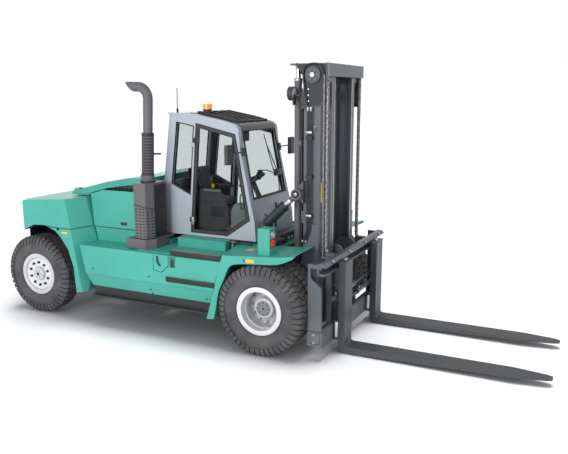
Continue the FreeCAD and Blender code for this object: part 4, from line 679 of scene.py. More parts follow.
class FORKLIFT_OT_studio(bpy.types.Operator):
    """Set the floor, the soft lamps and the camera"""
    bl_idname = "forklift.studio"
    bl_label = "Set the studio"

    def execute(self, context):
        studio = context.scene.forklift_studio
        settle()
        bpy.ops.mesh.primitive_plane_add(size=160, location=(0, 0, FLOOR_LEVEL))
        floor = context.object
        floor.name = "Floor"
        material = bpy.data.materials.new("Pale floor")
        material.use_nodes = True
        tree = material.node_tree
        tree.nodes.clear()
        seen = rays_that_show(tree)
        lit = add(tree, "ShaderNodeBsdfDiffuse", sockets={"Color": linear("#EDEDEE")})
        lift = add(tree, "ShaderNodeMath", {0: seen}, {1: studio.floor_lift}, operation="MULTIPLY")
        glow = add(tree, "ShaderNodeEmission", {"Strength": lift.outputs[0]})
        both = add(tree, "ShaderNodeAddShader", {0: lit.outputs["BSDF"], 1: glow.outputs["Emission"]})
        add(tree, "ShaderNodeOutputMaterial", {"Surface": both.outputs["Shader"]})
        floor.data.materials.append(material)

        world = bpy.data.worlds.new("Studio")
        context.scene.world = world
        world.use_nodes = True
        tree = world.node_tree
        tree.nodes.clear()
        room = add(tree, "ShaderNodeBackground", sockets={"Color": linear("#F4F6FA"),
            "Strength": studio.sky})
        white = add(tree, "ShaderNodeBackground", sockets={"Color": (1, 1, 1, 1), "Strength": 1.0})
        which = add(tree, "ShaderNodeMixShader", {0: rays_that_show(tree), 1: room.outputs[0],
            2: white.outputs[0]})
        add(tree, "ShaderNodeOutputWorld", {"Surface": which.outputs["Shader"]})

        # the lamps on the truck leave the floor alone, and the floor's own lamps leave the truck alone
        for name, place, size, power, state in (("Key lamp", (-1.0, -13.0, 5.5), 6.0, studio.key_power,
                "EXCLUDE"), ("Front lamp", (12.0, -3.0, 6.0), 6.0, studio.key_power * 0.15, "EXCLUDE"),
                ("Rear lamp", (-9.0, 8.0, 7.0), 6.0, studio.key_power * 0.25, "EXCLUDE"),
                ("Floor sun", (0.0, 2.0, 13.0), math.radians(30), studio.floor_power, "INCLUDE")):
            sun = "sun" in name
            lamp = bpy.data.lights.new(name, "SUN" if sun else "AREA")
            setattr(lamp, "angle" if sun else "size", size)
            lamp.energy = power
            rig = bpy.data.objects.new(name, lamp)
            context.scene.collection.objects.link(rig)
            rig.location = place
            rig.rotation_euler = (Vector((0, 0, 1)) - rig.location).to_track_quat("-Z", "Y").to_euler()
            lit_by = bpy.data.collections.new(f"{name} and the floor")
            lit_by.objects.link(floor)
            lit_by.collection_objects[0].light_linking.link_state = state
            rig.light_linking.receiver_collection = lit_by

        camera = bpy.data.objects.new("Camera", bpy.data.cameras.new("Camera"))
        context.scene.collection.objects.link(camera)
        camera.location = CAMERA_PLACE
        camera.rotation_euler = (math.radians(90 - CAMERA_FALL), 0, math.radians(CAMERA_TURN))
        camera.data.lens = studio.lens
        camera.data.sensor_width = SENSOR_WIDTH
        context.scene.camera = camera
        context.scene.view_settings.view_transform = "Standard"
        return {"FINISHED"}


def rays_that_show(tree):
    """One for the rays by which the white round the truck is seen, nought for those that light it."""
    path = add(tree, "ShaderNodeLightPath")
    either = add(tree, "ShaderNodeMath", {0: path.outputs["Is Camera Ray"],
        1: path.outputs["Is Glossy Ray"]}, operation="MAXIMUM")
    seen = add(tree, "ShaderNodeMath", {0: either.outputs[0], 1: path.outputs["Is Transmission Ray"]},
        operation="MAXIMUM")
    return seen.outputs[0]


def lugged_tyre(name, middle, radius, width, settings):
    """One lugged tyre: a turned casing with rim and shoulder ribs, its tread band raised into lugs
    whose middle rows lag behind the shoulder rows."""
    depth = settings.lug_depth
    half = width / 2
    floor = radius - depth
    profile = [(-half + 0.041, 0.262), (-half + 0.041, 0.302), (-half + 0.030, 0.309),
        (-half + 0.018, 0.311), (-half + 0.010, 0.326), (-half + 0.012, 0.330), (-half + 0.004, 0.352),
        (-half, 0.400), (-half - 0.0015, 0.404), (-half - 0.0015, 0.412), (-half, 0.416),
        (-half + 0.003, radius - 0.108), (-half + 0.012, radius - 0.070), (-half + 0.021, radius - 0.040),
        (-half + 0.044, floor), (-half + 0.088, floor), (-0.018, floor)]
    profile += [(-y, r) for y, r in reversed(profile)]
    piece = turn_profile(name, profile, middle, settings.lugs * 4)
    pitch = math.tau / settings.lugs

    def raised(face):
        across = face.calc_center_median()
        distance = math.hypot(across.x - middle[0], across.z - middle[2])
        y = abs(across.y - middle[1])
        if distance < radius - 0.100:
            return False
        lag = 0.25 if y < half - 0.088 else 0.0
        lag = 0.5 if y < 0.018 else lag
        turn = math.atan2(across.z - middle[2], across.x - middle[0]) / pitch + 100 + 0.125 + lag
        return (turn % 1.0) > 0.25

    pick("faces", raised)
    bpy.ops.mesh.extrude_region_shrink_fatten(TRANSFORM_OT_shrink_fatten={"value": depth})
    return piece


class FORKLIFT_OT_tyres(bpy.types.Operator):
    """Model the six lugged tyres"""
    bl_idname = "forklift.tyres"
    bl_label = "Fit the tyres"

    def execute(self, context):
        settings = context.scene.forklift_tyres
        for label, side in SIDES.items():
            low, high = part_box(f"front_tyres_{label}")
            radius = (high.z - low.z) / 2
            x = (low.x + high.x) / 2
            twins = []
            for place, y in (("outer", TYRE_Y), ("inner", INNER_TYRE_Y)):
                piece = lugged_tyre(f"tyre_front_{place}_{label}", (x, y * side, radius), radius,
                    TYRE_WIDTH, settings)
                twins.append(finished(piece, f"wheels_front_{label}", "tyre"))
            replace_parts(twins[0], f"front_tyres_{label}")
            low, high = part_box(f"rear_tyre_{label}")
            x = (low.x + high.x) / 2
            piece = lugged_tyre(f"tyre_rear_{label}", (x, REAR_TYRE_Y * side, radius), radius, TYRE_WIDTH,
                settings)
            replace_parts(finished(piece, f"wheel_rear_{label}", "tyre"), f"rear_tyre_{label}")
        return {"FINISHED"}


def fit_wheels(label, side):
    """Dresses one side's front and rear wheels."""
    hub = (0, 0, HUB_Z)
    body = f"wheels_front_{label}"
    # a bright lock ring round the deep dish, and the rim's step inside it
    ring_y = (TYRE_Y + TYRE_WIDTH / 2 - 0.022) * side
    lock = turn_profile(f"lock_ring_front_{label}", [(ring_y - 0.030 * side, 0.2415),
        (ring_y + 0.001 * side, 0.2415), (ring_y + 0.006 * side, 0.248), (ring_y + 0.006 * side, 0.292),
        (ring_y + 0.001 * side, 0.3005), (ring_y - 0.013 * side, 0.3005), (ring_y - 0.013 * side, 0.257),
        (ring_y - 0.030 * side, 0.257)], at(*hub), 64)
    finished(lock, body, "ring_white")
    step = turn_profile(f"rim_step_front_{label}", [(1.120 * side, 0.2412), (1.160 * side, 0.2412),
        (1.160 * side, 0.232), (1.152 * side, 0.226), (1.128 * side, 0.226), (1.120 * side, 0.232)],
        at(*hub), 64)
    finished(step, body, "rim_silver")
    nut = rod("nut", (0.205, 1.001 * side, HUB_Z), (0.205, 1.030 * side, HUB_Z), 0.016, 6)
    stud = rod("stud", (0.205, 1.001 * side, HUB_Z), (0.205, 1.046 * side, HUB_Z), 0.009, 10)
    nuts = spread(gather(f"wheel_nuts_front_{label}", [nut, stud]), turns(hub, 12))
    finished(nuts, body, "zinc_fitting")
    cap = turn_profile(f"hub_cap_front_{label}", [(1.1195 * side, 0.0), (1.1195 * side, 0.098),
        (1.124 * side, 0.096), (1.126 * side, 0.090), (1.126 * side, 0.034), (1.131 * side, 0.030),
        (1.131 * side, 0.0)], at(*hub), 48)
    finished(cap, body, "cast_grey")
    screw = rod("screw", (0.072, 1.125 * side, HUB_Z), (0.072, 1.133 * side, HUB_Z), 0.008, 6, 0.001)
    screws = spread(screw, turns(hub, 8))
    plug = rod("plug", (0, 1.130 * side, HUB_Z), (0, 1.139 * side, HUB_Z), 0.014, 6)
    joined(f"hub_screws_front_{label}", [screws, plug], body, "dark_fitting")
    valve = hose(f"valve_front_{label}", [(0.10, 1.10 * side, HUB_Z - 0.20),
        (0.10, 1.14 * side, HUB_Z - 0.205), (0.11, 1.19 * side, HUB_Z - 0.200)], 0.006)
    finished(valve, body, "zinc_fitting")

    hub = (REAR_X, 0, HUB_Z)
    body = f"wheel_rear_{label}"
    disc_y = (REAR_TYRE_Y + TYRE_WIDTH / 2 - 0.022 - 0.044) * side
    outer = turn_profile(f"lock_ring_rear_{label}", [(disc_y + 0.020 * side, 0.2345),
        (disc_y + 0.045 * side, 0.2415), (disc_y + 0.050 * side, 0.248), (disc_y + 0.050 * side, 0.292),
        (disc_y + 0.045 * side, 0.3005), (disc_y + 0.031 * side, 0.3005), (disc_y + 0.031 * side, 0.257),
        (disc_y + 0.020 * side, 0.250)], at(*hub), 64)
    finished(outer, body, "rim_silver")
    # the disc dishes from the rim to a raised bolting face
    dish = turn_profile(f"wheel_disc_rear_{label}", [(disc_y - 0.004 * side, 0.100),
        (disc_y + 0.012 * side, 0.104), (disc_y + 0.014 * side, 0.205), (disc_y + 0.010 * side, 0.212),
        (disc_y + 0.024 * side, 0.232), (disc_y + 0.020 * side, 0.2345), (disc_y - 0.004 * side, 0.2345)],
        at(*hub), 64)
    finished(dish, body, "ring_white")
    nut = rod("nut", (REAR_X, disc_y + 0.012 * side, HUB_Z + 0.167),
        (REAR_X, disc_y + 0.036 * side, HUB_Z + 0.167), 0.019, 6)
    stud = rod("stud", (REAR_X, disc_y, HUB_Z + 0.167), (REAR_X, disc_y + 0.046 * side, HUB_Z + 0.167),
        0.010, 10)
    nuts = spread(gather(f"wheel_nuts_rear_{label}", [nut, stud]), turns(hub, 10))
    finished(nuts, body, "dark_fitting")
    face = (REAR_TYRE_Y + TYRE_WIDTH / 2 - 0.022 + 0.006) * side
    screw = rod("screw", (REAR_X + 0.052, face, HUB_Z), (REAR_X + 0.052, face + 0.007 * side, HUB_Z), 0.007,
        6, 0.001)
    screws = spread(screw, turns(hub, 6))
    plug = rod("plug", (REAR_X, face, HUB_Z), (REAR_X, face + 0.010 * side, HUB_Z), 0.022, 20)
    joined(f"hub_screws_rear_{label}", [screws, plug], body, "dark_fitting")


class FORKLIFT_OT_wheels(bpy.types.Operator):
    """Model the rims' lock rings, studs, hub screws and valves"""
    bl_idname = "forklift.wheels"
    bl_label = "Dress the wheels"

    def execute(self, context):
        for label, side in SIDES.items():
            fit_wheels(label, side)
        return {"FINISHED"}


def stuffed(name, x, y, z, lean, cap):
    """A pad between two levels along each axis, leant back about its middle: remeshed, blown up from
    inside as foam under a tight cover, and held within cap."""
    piece = block(name, x, y, z, rim=0.022)
    take(piece)
    bpy.ops.object.modifier_add(type="REMESH")
    piece.modifiers[-1].mode = "VOXEL"
    piece.modifiers[-1].voxel_size = 0.011
    bpy.ops.object.modifier_apply(modifier=piece.modifiers[-1].name)
    start = [v.co.copy() for v in piece.data.vertices]
    bpy.ops.object.modifier_add(type="CLOTH")
    cloth = piece.modifiers[-1]
    cloth.settings.use_pressure = True
    cloth.settings.uniform_pressure_force = 4.0
    cloth.settings.effector_weights.gravity = 0.0
    cloth.point_cache.frame_start = 1
    cloth.point_cache.frame_end = 20
    for step in range(1, 21):
        bpy.context.scene.frame_set(step)
    take(piece)
    bpy.ops.object.modifier_apply(modifier=cloth.name)
    bpy.context.scene.frame_set(1)
    for vertex, rest in zip(piece.data.vertices, start):
        move = vertex.co - rest
        if move.length > cap:
            vertex.co = rest + move * (cap / move.length)
    piece.rotation_euler = (0, lean, 0)
    bpy.ops.object.transform_apply()
    return piece


def sew(piece, lines, reach, depth, inward):
    """Presses sewn channels into a pad: lines is a list of functions that give the distance to a seam."""
    for vertex in piece.data.vertices:
        near = min(line(vertex.co) for line in lines)
        if near < reach:
            vertex.co += inward * depth * (1 + math.cos(math.pi * near / reach)) / 2


class FORKLIFT_OT_seat(bpy.types.Operator):
    """Model the driver's seat: sewn cushions on a moulded shell"""
    bl_idname = "forklift.seat"
    bl_label = "Fit the seat"

    def execute(self, context):
        base = stuffed("seat_cushion", (-1.505, -1.095), (-0.215, 0.215), (1.595, 1.672), math.radians(-3),
            0.022)
        middle = at(-1.30, 0, 1.64)
        sew(base, [lambda co: abs(abs(co.y) - 0.135),
            lambda co: abs(abs(co.x - middle.x) - 0.085) + (abs(co.y) > 0.13)], 0.016, 0.010,
            Vector((0, 0, -1)))
        back = stuffed("seat_back", (-1.585, -1.520), (-0.205, 0.205), (1.735, 2.130), math.radians(-8),
            0.020)
        centre = at(-1.55, 0, 1.93)
        sew(back, [lambda co: abs(abs(co.y) - 0.130),
            lambda co: abs(abs(co.z - centre.z) - 0.085) + (abs(co.y) > 0.13)], 0.016, 0.009,
            Vector((-1, 0, 0)))
        for pad, fill in ((base, 0.8), (back, 0.8)):
            take(pad)
            bpy.ops.object.modifier_add(type="SUBSURF")
            pad.modifiers[-1].levels = pad.modifiers[-1].render_levels = 1
            bpy.ops.object.modifier_apply(modifier=pad.modifiers[-1].name)
            finished(pad, "chassis", "seat_cloth", smooth_angle=60)
        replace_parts(base, "seat")
        shell = [plate("shell", [(-1.632, 2.09), (-1.610, 1.70), (-1.585, 1.60), (-1.10, 1.575),
            (-1.10, 1.562), (-1.60, 1.562), (-1.636, 1.66), (-1.652, 2.10)], -0.200, 0.40, 0.004)]
        shell.append(block("armrest", (-1.50, -1.19), (0.245, 0.285), (1.80, 1.84), 0.012))
        shell.append(rod("lever", (-1.12, -0.245, 1.60), (-1.07, -0.245, 1.62), 0.010))
        joined("seat_shell", shell, "chassis", "black_plastic")
        beads = [hose("bead", [(-1.505, y, 1.634), (-1.10, y, 1.617)], 0.004) for y in (-0.232, 0.232)]
        joined("seat_piping", beads, "chassis", "seal_rubber")
        return {"FINISHED"}


def side_y(z, out=0.0):
    """How far out the cab's leaning side wall is at a height."""
    return 0.575 - (z - 1.245) * 0.015 / 1.633 + out


def window_bead(name, outline, side, out, radius=0.008):
    """A rubber bead pressed round a side window's outline."""
    return hose(name, [(x, side_y(z, out) * side, z) for x, z in outline], radius, closed=True,
        straight=True)


def trim_cab_side(label, side):
    """One side's seals, lock, pull and mirror glass."""
    beads = [window_bead("bead", REAR_WINDOW, side, -0.003, 0.011),
        window_bead("bead", REAR_WINDOW, side, -0.055, 0.014)]
    joined(f"window_seal_{label}", beads, "chassis", "seal_rubber")
    beads = [window_bead("bead", DOOR_EDGE, side, 0.000, 0.008), window_bead("bead", DOOR_WINDOW, side,
        -0.004, 0.009)]
    joined(f"door_seal_{label}", beads, f"door_{label}", "seal_rubber")
    # the lower hinge's bright cover, the lock and the pull handle
    y = side_y(1.44, 0.004) * side
    cover = block(f"door_lock_{label}", (-1.352, -1.318), (y - 0.002, y + 0.022 * side), (1.395, 1.500),
        0.006)
    knob = rod("knob", (-1.335, y, 1.475), (-1.335, y + 0.032 * side, 1.475), 0.013)
    joined(f"door_lock_{label}", [cover, knob], f"door_{label}", "zinc_fitting")
    y = side_y(1.72, 0.002) * side
    pull = hose(f"door_pull_{label}", [(-0.575, y, 1.66), (-0.575, y + 0.045 * side, 1.67),
        (-0.580, y + 0.045 * side, 1.72), (-0.592, y + 0.045 * side, 1.84), (-0.594, y, 1.85)], 0.009)
    finished(pull, f"door_{label}", "black_plastic")
    glass = block(f"mirror_glass_{label}", (-0.6065, -0.603), (0.848 * side, 0.960 * side), (2.280, 2.485),
        0.001)
    finished(glass, "chassis", "chrome_rod")


class FORKLIFT_OT_cab(bpy.types.Operator):
    """Model the cab's seals, handles, dark plates of painted shade inside, visor, wiper, mirror glasses and
    controls
    """
    bl_idname = "forklift.cab"
    bl_label = "Trim the cab"

    def execute(self, context):
        for label, side in SIDES.items():
            trim_cab_side(label, side)
        # windscreen and rear window beads
        beads = [hose("bead", [(windscreen_x(z) + 0.002, y, z) for y, z in WINDSCREEN], 0.012, True, True),
            hose("bead", [(windscreen_x(z) - 0.046, y, z) for y, z in WINDSCREEN], 0.015, True, True),
            hose("bead", [(-1.857 + (z - 1.245) * 0.1128 - 0.002, y, z) for y, z in REAR_PANE], 0.012, True,
            True)]
        joined("window_seals_ends", beads, "chassis", "seal_rubber")
        # painted shade inside: dark plates over the cab's inner faces at the rear quarters, rear corner
        # pillars, the pillars behind the doors and the headers
        for label, side in SIDES.items():
            y, deep = 0.511 * side, 0.003 * side
            lining = [plate("lining", outline, y, deep, 0.0008) for outline in (((-1.795, 1.290),
                (-1.392, 1.290), (-1.392, 1.782), (-1.682, 1.915)),
                ((-1.800, 1.880), (-1.676, 1.925), (-1.572, 2.780), (-1.650, 2.790)),
                ((-1.392, 1.782), (-1.366, 1.782), (-1.285, 2.730), (-1.330, 2.738)),
                ((-1.600, 2.775), (-1.285, 2.735), (-0.860, 2.650), (-0.860, 2.700), (-1.285, 2.785),
                (-1.600, 2.825)))]
            joined(f"side_linings_{label}", lining, "chassis", "dark_grey_and_cab_shade")
        # painted shade on the rear wall's inside: dark strips
        ends = [block("strip", (-1.800, -1.796), (-0.50, 0.50), (1.30, 1.905), 0.001, (0, 0.112, 0))]
        for side in (1, -1):
            ends.append(block("strip", (-1.742, -1.738), (0.466 * side, 0.512 * side), (1.93, 2.74), 0.001,
                (0, 0.112, 0)))
        joined("rear_linings", ends, "chassis", "dark_grey_and_cab_shade")
        side_panel = [plate("panel", ((-1.33, 1.30), (-1.33, 1.84), (-1.22, 1.885), (-1.00, 1.875),
            (-0.90, 1.80), (-0.86, 1.62), (-0.845, 1.30)), -0.452, -0.012, 0.003)]
        joined("console_side", side_panel, "chassis", "dark_grey_and_cab_shade")
        trims = [block("tray", (-1.12, -0.91), (-0.468, -0.464), (1.505, 1.640), 0.002),
            block("band", (-1.31, -0.93), (-0.467, -0.464), (1.700, 1.712), 0.001)]
        joined("console_side_recess", trims, "chassis", "black_plastic")
        rest = block("console_rest", (-1.23, -0.97), (-0.475, -0.440), (1.845, 1.872), 0.008)
        finished(rest, "chassis", "moulded_grey")
        knee = plate("knee_cover", ((-0.815, 1.300), (-0.815, 1.585), (-0.795, 1.655), (-0.745, 1.705),
            (-0.670, 1.728), (-0.590, 1.705), (-0.535, 1.650), (-0.500, 1.545), (-0.640, 1.405),
            (-0.770, 1.300)), -0.470, 0.030, 0.008)
        finished(knee, "chassis", "moulded_grey")
        # the tinted front of the roof, from the guard's foot down to the windscreen
        tint = plate("roof_visor", ((-1.300, 2.8705), (-0.852, 2.7870), (-0.6875, 2.7465),
            (-0.6315, 2.6980), (-0.6205, 2.6560), (-0.6275, 2.6560), (-0.6390, 2.6930), (-0.6920, 2.7400),
            (-0.8540, 2.7800), (-1.300, 2.8640)), -0.475, 0.950, 0.0)
        finished(tint, "chassis", "roof_tint")
        # wiper: motor, arm, blade and parallel rod
        y, z = 0.33, 2.055
        motor = block("motor", (windscreen_x(z) - 0.005, windscreen_x(z) + 0.035), (y - 0.10, y + 0.10),
            (z - 0.05, z + 0.045), 0.012)
        arm = hose("arm", [(windscreen_x(2.05) + 0.045, 0.27, 2.05), (windscreen_x(2.3) + 0.03, 0.19, 2.30),
            (windscreen_x(2.42) + 0.02, 0.155, 2.42)], 0.008, straight=True)
        blade = hose("blade", [(windscreen_x(2.08) + 0.012, 0.215, 2.08),
            (windscreen_x(2.58) + 0.012, 0.105, 2.58)], 0.007)
        link = hose("link", [(windscreen_x(2.05) + 0.03, 0.30, 2.02),
            (windscreen_x(1.9) + 0.02, 0.30, 1.90), (windscreen_x(1.79) + 0.015, 0.26, 1.79)], 0.008)
        low_arm = hose("low_arm", [(windscreen_x(2.04) + 0.03, 0.24, 2.04),
            (windscreen_x(2.13) + 0.02, 0.0, 2.11), (windscreen_x(2.14) + 0.02, -0.24, 2.13)], 0.007,
            straight=True)
        joined("wiper", [motor, arm, blade, link, low_arm], "chassis", "black_plastic")
        # what hangs and stands inside: visor, lever knobs, display, panel pads
        visor = block("visor", (-0.775, -0.745), (-0.42, -0.06), (2.50, 2.63), 0.01)
        display = block("display", (-0.70, -0.665), (-0.40, -0.22), (2.13, 2.33), 0.01, (0, -0.2, 0.35))
        stalk = hose("stalk", [(-0.68, -0.33, 2.15), (-0.62, -0.40, 2.02), (-0.60, -0.46, 1.85)], 0.009)
        fan = rod("fan", (-0.62, 0.02, 2.03), (-0.66, 0.02, 2.04), 0.065)
        joined("cab_fittings", [visor, display, stalk, fan], "chassis", "black_plastic")
        levers = [rod("lever", (-1.14 + i * 0.055, -0.35, 1.80), (-1.15 + i * 0.055, -0.35, 1.885), 0.006)
            for i in range(4)]
        levers += [rod("grip", (-1.15 + i * 0.055, -0.35, 1.88), (-1.152 + i * 0.055, -0.35, 1.925), 0.014)
            for i in range(1, 4)]
        joined("control_levers", levers, "chassis", "black_plastic")
        knob = rod("control_knob", (-1.15, -0.35, 1.88), (-1.152, -0.35, 1.925), 0.020)
        finished(knob, "chassis", "knob_yellow")
        pads = [block("pad", (-1.52, -1.10), (-0.436, -0.430), (1.62, 1.78), 0.004),
            block("pad", (-1.48, -1.20), (-0.205, -0.200), (1.34, 1.52), 0.004)]
        tray = block("tray", (-1.50, -1.10), (-0.425, -0.275), (1.800, 1.812), 0.005)
        joined("console_pads", pads + [tray], "chassis", "moulded_grey")
        pedals = [block("pedal", (-0.66, -0.655), (y, y + 0.10), (1.33, 1.50), 0.002, (0, -0.4, 0))
            for y in (-0.20, -0.03)]
        joined("pedals", pedals, "chassis", "seal_rubber")
        # beacon rim, roof-plate screws and the cab mounts' washers and bolts
        rim = ring("rim", (-1.247, -0.300, 2.912), (0, 0, 1), 0.062, 0.006)
        socket = rod("socket", (-1.247, -0.300, 2.864), (-1.247, -0.300, 2.913), 0.053, 32, 0.004)
        joined("beacon_rim", [rim, socket], "chassis", "black_plastic")
        screw = rod("roof_screws", (-1.67, -0.50, 2.872), (-1.67, -0.50, 2.880), 0.011, 6)
        moves = shifts(*[(x, y, 0) for x in (0, 0.29) for y in (0, 0.33, 0.67, 1.0) if x or y])
        finished(spread(screw, moves), "chassis", "zinc_fitting")
        foot = []
        for x in (-1.700, -0.698):
            for y in (-0.6, 0.6):
                foot.append(rod("washer", (x, y, 1.222), (x, y, 1.231), 0.058, 24))
                foot.append(rod("bolt", (x, y * 1.075, 1.13), (x, y * 1.075, 1.20), 0.012, 8))
        joined("cab_mount_washers", foot, "chassis", "zinc_fitting")
        return {"FINISHED"}


class FORKLIFT_OT_exhaust(bpy.types.Operator):
    """Model the exhaust's slotted guards, the front sheet of painted shade, clamp bands and seams"""
    bl_idname = "forklift.exhaust"
    bl_label = "Dress the exhaust"

    def execute(self, context):
        # slotted guards: the floors of their slots are painted shade
        near = slotted_sheet("exhaust_guard_side", (-1.896, -1.1040, 1.262), (0.174, 0, 0), (0, 0, 0.41), 3,
            10, 0.014, 0.003)
        finished(near, "chassis", "exhaust_grey", "slot_shade_and_joint_black")
        corner = slotted_sheet("exhaust_guard_corner", (-1.7097, -1.0973, 1.262), (0.041, 0.114, 0),
            (0, 0, 0.369), 2, 9, 0.014, 0.003)
        finished(corner, "chassis", "exhaust_grey", "slot_shade_and_joint_black")
        # painted shade: a black sheet over the exhaust's front face, which lies in shade
        front = block("exhaust_front_sheet", (-1.6725, -1.6690), (-0.972, -0.712), (1.262, 1.950), 0.001)
        finished(front, "chassis", "exhaust_black_and_shade")
        # the pipe's heat guard: a slotted tube round the stack, its slots' floors painted shade
        low, high = STACK_LOW, STACK_HIGH
        settle()
        middle = at(*((low + high) / 2))
        bpy.ops.mesh.primitive_cylinder_add(vertices=18, radius=0.0795, depth=(high - low).length,
            end_fill_type="NOTHING", location=middle, rotation=(high - low).to_track_quat("Z",
            "Y").to_euler())
        guard = bpy.context.object
        guard.name = "stack_guard"
        edit(guard)
        pick("edges", lambda e: abs(e.verts[0].co.z - e.verts[1].co.z) > 0.1)
        bpy.ops.mesh.subdivide(number_cuts=13)
        press_slots(guard, 0.0048, 0.003, lambda f: True)
        finished(guard, "chassis", "exhaust_grey", "slot_shade_and_joint_black")
        bands = [rod("band", (-1.8125 + i * 0.0255, -0.9, 2.068 + i * 0.525),
            (-1.811 + i * 0.0255, -0.9, 2.096 + i * 0.525), 0.083, 32) for i in (0, 1)]
        bands.append(rod("collar", (-1.816, -0.9, 1.982), (-1.815, -0.9, 2.004), 0.098, 32))
        bands += [rod("stay", (-1.77, -0.9, 2.35), (-1.66, -0.80, 2.35), 0.012)]
        joined("stack_bands", bands, "chassis", "exhaust_black_and_shade")
        seam = hose("exhaust_seam", [(-1.903, -1.1035, 1.706), (-1.714, -1.1035, 1.668),
            (-1.669, -0.979, 1.640)], 0.0045, straight=True)
        foot = hose("foot_seam", [(-1.903, -1.1015, 1.252), (-1.714, -1.1015, 1.252),
            (-1.670, -0.980, 1.252), (-1.670, -0.705, 1.252)], 0.007, straight=True)
        joined("exhaust_seams", [seam, foot], "chassis", "seal_rubber")
        return {"FINISHED"}


def box_face(z, out=0.0):
    """How far out the side box's face is at a height: it leans in above its fold."""
    return (1.250 - (z - 0.735) * 0.025 / 0.373 if z > 0.735 else 1.250) + out


def dress_box(label, side):
    """One side's treads, flap, switch, bolts, lamp frames and blank films."""
    # the upper and lower treads' pressed studs
    studs = []
    for x0, count, y, z in ((-1.238, 26, 1.180, 1.182), (-1.238, 26, 1.205, 1.182),
            (-1.238, 26, 1.230, 1.182), (-1.305, 25, 1.215, 0.838), (-1.305, 25, 1.245, 0.838)):
        studs.append(spread(rod("stud", (x0, y * side, z - 0.002), (x0, y * side, z + 0.004), 0.008, 8,
            0.002), shifts(*[(i * 0.0275, 0, 0) for i in range(1, count)])))
    joined(f"tread_studs_{label}", studs, "chassis", "zinc_fitting")
    edge = [block("nosing", (-1.252, -0.518), (1.243 * side, 1.247 * side), (1.123, 1.184), 0.0015),
        block("nosing", (-1.322, -0.618), (1.262 * side, 1.266 * side), (0.777, 0.840), 0.0015)]
    joined(f"tread_nosings_{label}", edge, "chassis", "tread_grey")
    # filler flap in the side box, and its key recess as a darker-green patch of painted shade
    y = box_face(1.0) * side
    flap = plate(f"filler_flap_{label}", [(-1.526, 1.100), (-1.300, 1.100), (-1.300, 0.975),
        (-1.405, 0.885), (-1.526, 0.905)], y - 0.004 * side, 0.008 * side, 0.003)
    lean(flap, lambda z: (box_face(z) - box_face(1.0)) * side)
    finished(flap, "chassis", "body_green")
    shadow = hose(f"filler_gap_{label}", [(x, box_face(z, 0.001) * side, z) for x,
        z in ((-1.529, 1.103), (-1.529, 0.903), (-1.405, 0.881), (-1.297, 0.973), (-1.297, 1.103))], 0.0035,
        straight=True)
    finished(shadow, "chassis", "slot_shade_and_joint_black")
    handle = hose(f"filler_handle_{label}", [(-1.465, box_face(1.09, 0.006) * side, 1.090),
        (-1.462, box_face(1.05, 0.022) * side, 1.040), (-1.445, box_face(1.0, 0.022) * side, 0.995),
        (-1.418, box_face(0.97, 0.004) * side, 0.965)], 0.011)
    finished(handle, "chassis", "black_plastic")
    # painted shade: the key recess is a thin darker-green patch on the box's face
    recess = block(f"key_recess_{label}", (-1.275, -1.195), (box_face(1.02, -0.002) * side,
        box_face(1.02, 0.004) * side), (0.955, 1.098), 0.002)
    finished(recess, "chassis", "recess_painted_shade")
    switch = [block("switch", (-1.255, -1.215), (box_face(1.02, 0.002) * side,
        box_face(1.02, 0.018) * side), (0.965, 1.06), 0.006), rod("key",
        (-1.235, box_face(1.02, 0.010) * side, 1.045), (-1.235, box_face(1.02, 0.026) * side, 1.045),
        0.014)]
    joined(f"key_switch_{label}", switch, "chassis", "black_plastic")
    # box bolts
    bolts = [rod("bolt", (x, box_face(z) * side, z), (x, box_face(z, 0.006) * side, z), 0.012, 8) for x,
        z in ((-1.596, 0.806), (-1.572, 0.636), (-1.541, 0.587), (-2.52, 0.806), (-0.72, 0.62))]
    joined(f"box_bolts_{label}", bolts, "chassis", "dark_fitting")
    # lamp bezels and the headlamp's reflector
    bezels = [block("bezel", (0.112, 0.122), (a * side, b * side), z) for a, b,
        z in ((1.026, 1.034, (1.330, 1.540)), (1.156, 1.164, (1.330, 1.540)),
        (1.026, 1.164, (1.534, 1.544)), (1.026, 1.164, (1.424, 1.432)), (1.026, 1.164, (1.326, 1.334)))]
    joined(f"lamp_bezels_{label}", bezels, "chassis", "black_plastic")
    bulb = ring(f"headlamp_reflector_{label}", (0.117, 1.095 * side, 1.487), (1, 0, 0), 0.036, 0.006)
    finished(bulb, "chassis", "chrome_rod")
    # blank markers: a blue and yellow film on the fender's face, a yellow one on its deck
    face = (1.2505 * side, 1.2520 * side)
    finished(block(f"fender_film_blue_{label}", (-0.200, -0.172), face, (1.150, 1.192), 0.0004), "chassis",
        "film_blue")
    finished(block(f"fender_film_{label}", (-0.172, -0.055), face, (1.152, 1.190), 0.0004), "chassis",
        "film_yellow")
    strip = block(f"deck_film_{label}", (-0.340, -0.235), (0.86 * side, 0.93 * side), (1.217, 1.2185),
        0.0004, (0, math.radians(-3.8), 0))
    finished(strip, "chassis", "film_yellow")
    hooks = hose(f"deck_hose_{label}", [(-0.62, 0.665 * side, 1.215), (-0.55, 0.70 * side, 1.235),
        (-0.47, 0.685 * side, 1.235), (-0.40, 0.66 * side, 1.222)], 0.014)
    finished(hooks, "chassis", "hose_rubber")
    # fender edge rolled under its deck
    roll = hose(f"fender_roll_{label}", [(x, 1.246 * side, z) for x,
        z in ((-0.592, 0.560), (-0.570, 0.692), (-0.543, 0.776), (-0.480, 0.899), (-0.430, 1.030),
        (-0.395, 1.085), (-0.310, 1.118), (-0.175, 1.134), (0.026, 1.148), (0.220, 1.164), (0.330, 1.196),
        (0.448, 1.258))], 0.006)
    finished(roll, "chassis", "body_green")


